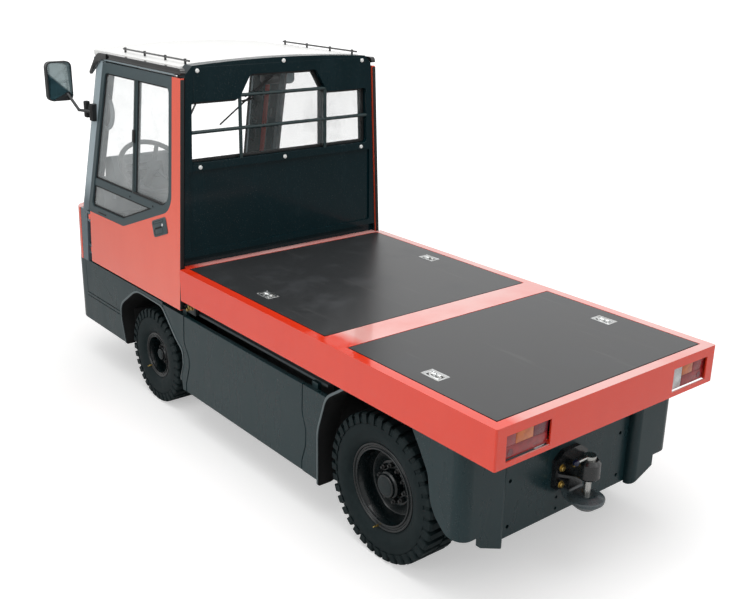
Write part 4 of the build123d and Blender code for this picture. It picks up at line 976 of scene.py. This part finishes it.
# Bolts: y, height, and the x of the face under each
for y, z, x in (
    (500, 1822, 2203), (-500, 1822, 2203), (3, 1845, 2206),
    (503, 1357, 2203), (-503, 1357, 2203), (3, 1357, 2203),
):
    cap = disc("bolt_cap", point(x - 2, y, z), 10.5, 5, "X", 28)
    pick(cap, facing("X", -1))
    push(-3, 0, 0)
    scale(point(x, y, z), 1, 0.7, 0.7)
    alone()
    round_edges(cap, 1.5, 2, 20)
    caps.append(cap)
fit(join("wall_bolt_caps", *caps), cap_white, "roof_shell", smooth=60)
cover("window_guard", post_paint)

# Roof: a moulded off-white shell between black rain gutters, with a thin
# black rail on knobs along each side.
roof_white = enamel("roof_white", (250, 250, 248), (244, 244, 242), 0.3)
finished("roof", roof_white, 8)
gutter_black = enamel("gutter_black", (10, 12, 13), (18, 20, 21), 0.14, Coat_Weight=0.8, Coat_Roughness=0.04)
gutters = copy_of("roof_gutters", "roof_gutters_finished")
for sign in (1, -1):
    pick(gutters, lambda centre, normal: normal.y * sign > 0.9 and abs(centre.y) > 0.57 and centre.x < 1.13)
    inset(8)
    push(0, -3 * sign, 0)
    alone()
round_edges(gutters, 2.5)
fit(gutters, gutter_black, "black_trim", "roof_gutters")
cover("roof_rods", gutter_black)
knobs = []
for x in (2300, 2500, 2720, 2940):
    for y in (508, -508):
        knob = disc("knob", point(x, y, 1863.5), 8, 13, sides=20)
        pick(knob, facing("Z", -1))
        scale(point(x, y, 1857), 0.6, 0.6, 1)
        alone()
        round_edges(knob, 3, 3)
        knobs.append(knob)
fit(join("roof_rail_knobs", *knobs), gutter_black, "black_trim", smooth=50)

# Mirrors: black moulded heads with flat glass, a ball joint behind, on a bent
# rod clamped round each front pillar. The glass carries a painted sky reflection.
finished("mirrors", trim, 5)
silver = Paint("mirror_glass", Metallic=1.0)
# Painted reflection: the glass's base colour turns pale towards its top and its inner edge, standing for the
# bright sky mirrored in it.
painted_sky_reflection = silver.between(silver.along("Z") + silver.sideways() * -0.9, 0.985, 1.0)
film = silver.noise(6, 4)
silver.tint(painted_sky_reflection, (62, 92, 100), (214, 230, 232))
silver.gloss(film, 0.02, 0.1, 0.3, 0.8)
silver.bumps(film, 0.01, 0.0005)
glass = copy_of("mirrors", "mirror_glass")
cut_away(glass, lambda centre, normal: normal.x > -0.99 or abs(centre.y) < 0.72)
pick(glass, every_face)
inset(7)
bpy.ops.mesh.select_all(action="INVERT")
bpy.ops.mesh.delete(type="FACE")
alone()
pick(glass, every_face)
push(-1.2, 0, 0)
alone()
round_edges(glass, 0.5, 1)
fit(glass, silver, "clear_glass")
MIRROR_Y, MIRROR_HEIGHT, CLAMP_HEIGHT = 770, 1658, 1515
joints = []
for sign in (1, -1):
    ball = disc("ball_joint", point(3338, MIRROR_Y * sign, MIRROR_HEIGHT), 27, 46, "X", 32)
    pick(ball, facing("X"))
    scale(point(3361, MIRROR_Y * sign, MIRROR_HEIGHT), 1, 0.72, 0.72)
    alone()
    round_edges(ball, 7, 3)
    joints.append(ball)
    # Clamp blocks: from and to along the truck, from and to in height, how far out
    for x0, x1, z0, z1, lift in (
        (3240, 3274, 1470, 1560, 15), (3186, 3240, 1494, 1536, 8), (3150, 3186, 1462, 1552, 22),
    ):
        side = side_y(CLAMP_HEIGHT)
        y0, y1 = sorted((sign * (side - 8), sign * (side + lift)))
        band = block("clamp", x0, x1, y0, y1, z0, z1)
        step(band, facing("Y", sign), 4, 0, 3 * sign)
        round_edges(band, 3)
        joints.append(band)
fit(join("mirror_joints", *joints), rubber_black, "black_trim", smooth=50)
finished("wiper", trim, 1)


# Cab inside: a light grey moulded dash with a display, a steering wheel with
# finger grips, a grab handle on the driver's pillar, a striker for each door,
# and cloth seats on plastic shells.
def plastic(name, colour, worn_to):
    """Grained moulding, a little polished where hands reach."""
    paint = Paint(name, Specular_IOR_Level=0.45)
    grain = paint.noise(500, 2)
    paint.tint(paint.noise(3, 4), colour, worn_to)
    paint.gloss(paint.noise(6), 0.42, 0.58)
    paint.bumps(grain, 0.25, 0.0008)
    return paint


dash_grey = plastic("dash_plastic", (150, 158, 162), (136, 144, 148))
shell_grey = plastic("seat_shell", (78, 84, 88), (66, 72, 76))
finished("dashboard", dash_grey, 4)
finished("steering_wheel", plastic("wheel_grip", (98, 104, 108), (80, 86, 90)), 2, smooth=50)
finished("seat_frames", shell_grey, 6)
display = block("dash_display", HALF_LENGTH - 6, HALF_LENGTH + 2, -112, 112, -46, 46)
step(display, facing("X", -1), 7, 3)
round_edges(display, 1.5)
display.data.transform(Matrix.Translation(point(3172, 320, 1150)) @ Matrix.Rotation(radians(14.7), 4, "Y"))
fit(display, shell_grey, "soft_plastic")
HANDLE_REACH, HANDLE_BAR = 0.096, 0.012
handle = torus("grab_handle", point(3166, 545, 1512), HANDLE_REACH, HANDLE_BAR, 56, 14, pi / 2)
pick(handle, every_face)
bpy.ops.mesh.bisect(
    plane_co=point(3262, 0, 1512), plane_no=(1, 0, SCREEN_SLOPE), clear_outer=True, use_fill=True
)
alone()
fit(handle, dash_grey, "soft_plastic", smooth=50)
striker = block("door_striker", 3172, 3208, -579, -557, 1384, 1440)
step(striker, facing("Y"), 5, 0, 5)
round_edges(striker, 3)
other = twin(striker, "door_striker_left")
fit(striker, post_paint, "black_trim")
fit(other, post_paint, "black_trim")


SEAM_WIDTH, SEAM_DEPTH = 0.006, 0.0045
SWELL_STEPS = 20
PAD_SIDES = (108, 512)
SEAMS_ALONG = ((1, 0.205), (1, 0.415))
SHELL_TOP = 0.9022


def cushion(name, x0, x1, z0, z1, swell, kept_off, seams):
    """A foam pad in sewn cloth: swollen by simulation, then drawn in at its seams."""
    pad = block(name, x0, x1, *PAD_SIDES, z0, z1)
    round_edges(pad, 22, 4)
    apply(pad, "REMESH", mode="VOXEL", voxel_size=0.008)
    start = [vertex.co.copy() for vertex in pad.data.vertices]
    alone(pad)
    cloth = pad.modifiers.new("cloth", "CLOTH")
    cloth.settings.use_pressure = True
    cloth.settings.uniform_pressure_force = 4
    cloth.settings.effector_weights.gravity = 0
    for moment in range(1, SWELL_STEPS + 1):
        bpy.context.scene.frame_set(moment)
    bpy.ops.object.modifier_apply(modifier=cloth.name)
    bpy.context.scene.frame_set(1)
    for vertex, place in zip(pad.data.vertices, start):
        moved = vertex.co - place
        if moved.length > swell / 1000:
            moved *= swell / 1000 / moved.length
        vertex.co = kept_off(place + moved)
    apply(pad, "SUBSURF", levels=1, render_levels=1)
    outwards = [vertex.normal.copy() for vertex in pad.data.vertices]
    for vertex, outward in zip(pad.data.vertices, outwards):
        for axis, at in seams:
            near = (vertex.co[axis] - at) / SEAM_WIDTH
            vertex.co -= outward * SEAM_DEPTH * exp(-near * near)
    return pad


cloth_grey = Paint("seat_cloth", Specular_IOR_Level=0.2, Sheen_Weight=0.3)
thread = {"Vector": cloth_grey.place, "Scale": 260, "Distortion": 0.6}
warp = cloth_grey.node("TexWave", thread, bands_direction="Y")
weft = cloth_grey.node("TexWave", thread, bands_direction="DIAGONAL")
weave = warp.output("Fac") * 0.5 + weft.output("Fac") * 0.5
reflection_and_fade = cloth_grey.between(cloth_grey.noise(7, 4), 0.4, 0.7)
cloth_grey.tint(weave * 0.4 + reflection_and_fade * 0.6, (52, 58, 62), (84, 90, 94))
cloth_grey.gloss(reflection_and_fade, 0.8, 0.95, 0, 1)
cloth_grey.bumps(weave, 0.3, 0.0008)
seat_pad = cushion(
    "seat_pad_left", 2412, 2846, 903, 964, 11,
    lambda place: Vector((place.x, place.y, max(place.z, SHELL_TOP))),
    (*SEAMS_ALONG, (0, point(2720, 0, 0).x)),
)
back_pad = cushion(
    "back_pad_left", 2352, 2426, 994, 1180, 9,
    lambda place: Vector((max(place.x, point(2350.5, 0, 0).x), place.y, place.z)), SEAMS_ALONG,
)
for pad in (seat_pad, back_pad):
    other = twin(pad, pad.name.replace("left", "right"))
    fit(pad, cloth_grey, "seat_fabric", "seat_cushions", smooth=60)
    fit(other, cloth_grey, "seat_fabric", "seat_cushions", smooth=60)


# Wheels: bias tyres with lugs round the shoulder on black split rims, held
# by nuts round a flat hub cap, with a brass valve at the rim's edge.
def turned(name, centre, rows, steps=72):
    """A closed piece turned about a wheel's axle, from rows of (radius, y)."""
    alone()
    bpy.ops.mesh.primitive_circle_add(vertices=steps, radius=rows[0][0] / 1000, rotation=(pi / 2, 0, 0))
    piece = made(name)
    bpy.ops.object.mode_set(mode="EDIT")
    bpy.ops.mesh.select_mode(type="VERT")
    bpy.ops.mesh.select_all(action="SELECT")
    bpy.ops.transform.translate(value=centre + Vector((0, rows[0][1] / 1000, 0)))
    for (before, y), (radius, next_y) in zip(rows, rows[1:] + rows[:1]):
        push(0, next_y - y, 0)
        if radius != before:
            scale(centre + Vector((0, next_y / 1000, 0)), radius / before, 1, radius / before)
    bpy.ops.mesh.select_all(action="SELECT")
    bpy.ops.mesh.remove_doubles(threshold=0.00003)
    bpy.ops.mesh.normals_make_consistent(inside=False)
    alone()
    return piece


def ring_of(piece, centre, count, start=0.0):
    """Repeat a piece round a wheel's axle."""
    there, home = Matrix.Translation(centre), Matrix.Translation(-centre)
    piece.data.transform(there @ Matrix.Rotation(start, 4, "Y") @ home)
    alone()
    bpy.ops.object.empty_add()
    guide = bpy.context.object
    guide.matrix_world = there @ Matrix.Rotation(2 * pi / count, 4, "Y") @ home
    bpy.context.view_layer.update()
    round_axle = {"use_relative_offset": False, "use_object_offset": True, "offset_object": guide}
    apply(piece, "ARRAY", count=count, **round_axle)
    bpy.data.objects.remove(guide)


rubber = Paint("tyre_rubber", Specular_IOR_Level=0.12)
dust = rubber.between(rubber.noise(26, 5, 0.65), 0.42, 0.75)
tone = rubber.blend(rubber.noise(4), (13, 24, 26), (22, 34, 36))
rubber.tint(dust * 0.25, tone, (58, 66, 66))
rubber.gloss(dust, 0.5, 0.7, 0, 1)
rubber.bumps(rubber.noise(700, 2) * 0.6 + rubber.noise(120) * 0.4, 0.16, 0.0007)
wheel_black = enamel(
    "wheel_black", (4, 12, 14), (12, 22, 24), 0.2,
    Specular_IOR_Level=0.25, Coat_Weight=0.3, Coat_Roughness=0.06,
)
nut_black = enamel("nut_black", (18, 20, 21), (30, 32, 33), 0.4)
hub_grey = enamel("hub_grey", (26, 38, 40), (18, 28, 30), 0.34, Specular_IOR_Level=0.25)

# Half of a tyre's section for the rear wheel: radius, distance from its middle
TYRE_SIDE = (
    (178, 60), (190, 64), (193.5, 70), (197.5, 71.5), (201, 76), (212, 83.5), (230, 89), (250, 90.8),
    (268, 89.2), (273.5, 88.2), (275, 85), (278, 85), (280, 86.8), (292, 85), (301, 80), (304.5, 72),
    (305.5, 30),
)
# A rim's section for the rear wheel, from the hub's middle outwards and back
RIM_FRONT = (
    (0.5, 54.5), (44, 54.5), (49, 52), (51, 42), (56, 40), (60, 36), (62, 4), (96, 3), (100, -1), (118, -6),
    (138, -3), (144, 6), (147, 30), (152, 50), (158, 60), (160, 69.5), (162.5, 72.5), (167, 72.5), (169, 70),
    (170, 65), (178, 65), (180, 70), (184, 72.5), (189, 71.5), (191.5, 68), (189.5, 64.5), (179, 63),
    (176.5, 56), (165, 40),
)
RIM_BACK = (
    (162, -40), (176.5, -56), (179, -63), (189.5, -64.5), (190, -69), (165, -69), (152, -50), (140, -14),
    (86, -12), (84, -69), (41, -69), (41, 36), (0.5, 36),
)
# Where the rim ends and the tyre begins, and the front wheel's share of the
# rear one's rim and of its tyre's height
RIM_RADIUS, FRONT_RIM_RADIUS = 177, 112
FRONT_RIM_SHARE, FRONT_TYRE_SHARE = 0.633, 1.049
HUB_CAP = ((0.5, 57), (37, 57), (40, 56.2), (41, 54), (41, 46), (0.5, 46))


def rear_radius(radius):
    """The rear wheel is the one that the sections are drawn for."""
    return radius


def front_radius(radius):
    """The front tyre is lower and its rim smaller, by this rule."""
    if radius > RIM_RADIUS:
        return FRONT_RIM_RADIUS + (radius - RIM_RADIUS) * FRONT_TYRE_SHARE
    return radius * FRONT_RIM_SHARE


# Wheels: axle, its x and height, middle of the tread, radii, share of the rear
# wheel's width, lugs, nuts, turn of the valve
for axle, axle_x, height, middle, reach, along, lugs, nuts, valve_turn in (
    ("rear", 655, 320, 527.5, rear_radius, 1.0, 38, 10, 3.05),
    ("front", 2577, 262, 540, front_radius, 0.865, 34, 8, 2.4),
):
    hub = point(axle_x, middle, height)
    half = [(reach(radius), y * along) for radius, y in TYRE_SIDE]
    other_half = [(radius, -y) for radius, y in reversed(half)]
    tyre = turned(f"road_tyre_{axle}_left", hub, half + other_half)
    foot, side, wide = reach(305) - 2, middle + 80 * along, 0.62 * pi * height / lugs
    lug = block("lug", axle_x - wide, axle_x + wide, middle + 3, side, height + foot, 2 * height - 0.4)
    pick(lug, facing("Y"))
    push(0, 9.5 * along, -4)
    scale(point(axle_x, side, height + foot), 0.94, 1, 0.72)
    alone()
    pick(lug, lambda centre, normal: normal.z < -0.5 and centre.y > side / 1000)
    push(0, 3 * along, reach(277.5) - foot)
    scale(hub, 0.86)
    alone()
    pick(lug, facing("Y", -1))
    shift(0.35 * wide)
    alone()
    round_edges(lug, 2.2)
    inner_lug = twin(lug, "inner_lug", middle)
    ring_of(lug, hub, lugs)
    ring_of(inner_lug, hub, lugs, pi / lugs)
    tyre = join(tyre.name, tyre, lug, inner_lug)
    section = [(reach(radius), y * along) for radius, y in RIM_FRONT + RIM_BACK]
    rim = turned(f"split_rim_{axle}_left", hub, section)
    round_edges(rim, 1.2, 1)
    cap = turned(f"hub_cap_{axle}_left", hub, [(reach(radius), y * along) for radius, y in HUB_CAP])
    round_edges(cap, 0.8, 1)
    seat = point(axle_x, middle + 3.5 * along, height + reach(78))
    nut = disc(f"wheel_nuts_{axle}_left", seat + Vector((0, 0.007, 0)), 12, 15, "Y", 6)
    pick(nut, facing("Y"))
    push(0, 0.8, 0)
    scale(seat, 0.86, 1, 0.86)
    inset(3)
    push(0, 9, 0)
    alone()
    round_edges(nut, 0.8, 1)
    ring_of(nut, hub, nuts, 0.2)
    away = reach(184)
    valve_x, valve_z = axle_x + away * sin(valve_turn), height + away * cos(valve_turn)
    tip = point(valve_x, middle + 76 * along, valve_z)
    valve = disc(f"valve_{axle}_left", tip, 4.8, 22, "Y", 16)
    pick(valve, facing("Y"))
    push(0, 3, 0)
    scale(tip, 0.7, 1, 0.7)
    push(0, 6, 0)
    alone()
    round_edges(valve, 0.8, 1)
    for piece, paint, slot, *nodes in (
        (tyre, rubber, "tyre_rubber", f"tyre_{axle}_left"),
        (rim, wheel_black, "wheel_paint", f"rim_{axle}_left"),
        (cap, hub_grey, "wheel_paint"), (nut, nut_black, "wheel_paint"), (valve, yellow_zinc, "bare_steel"),
    ):
        both_sides(piece, paint, slot, *nodes, body=f"wheel_{axle}_left")
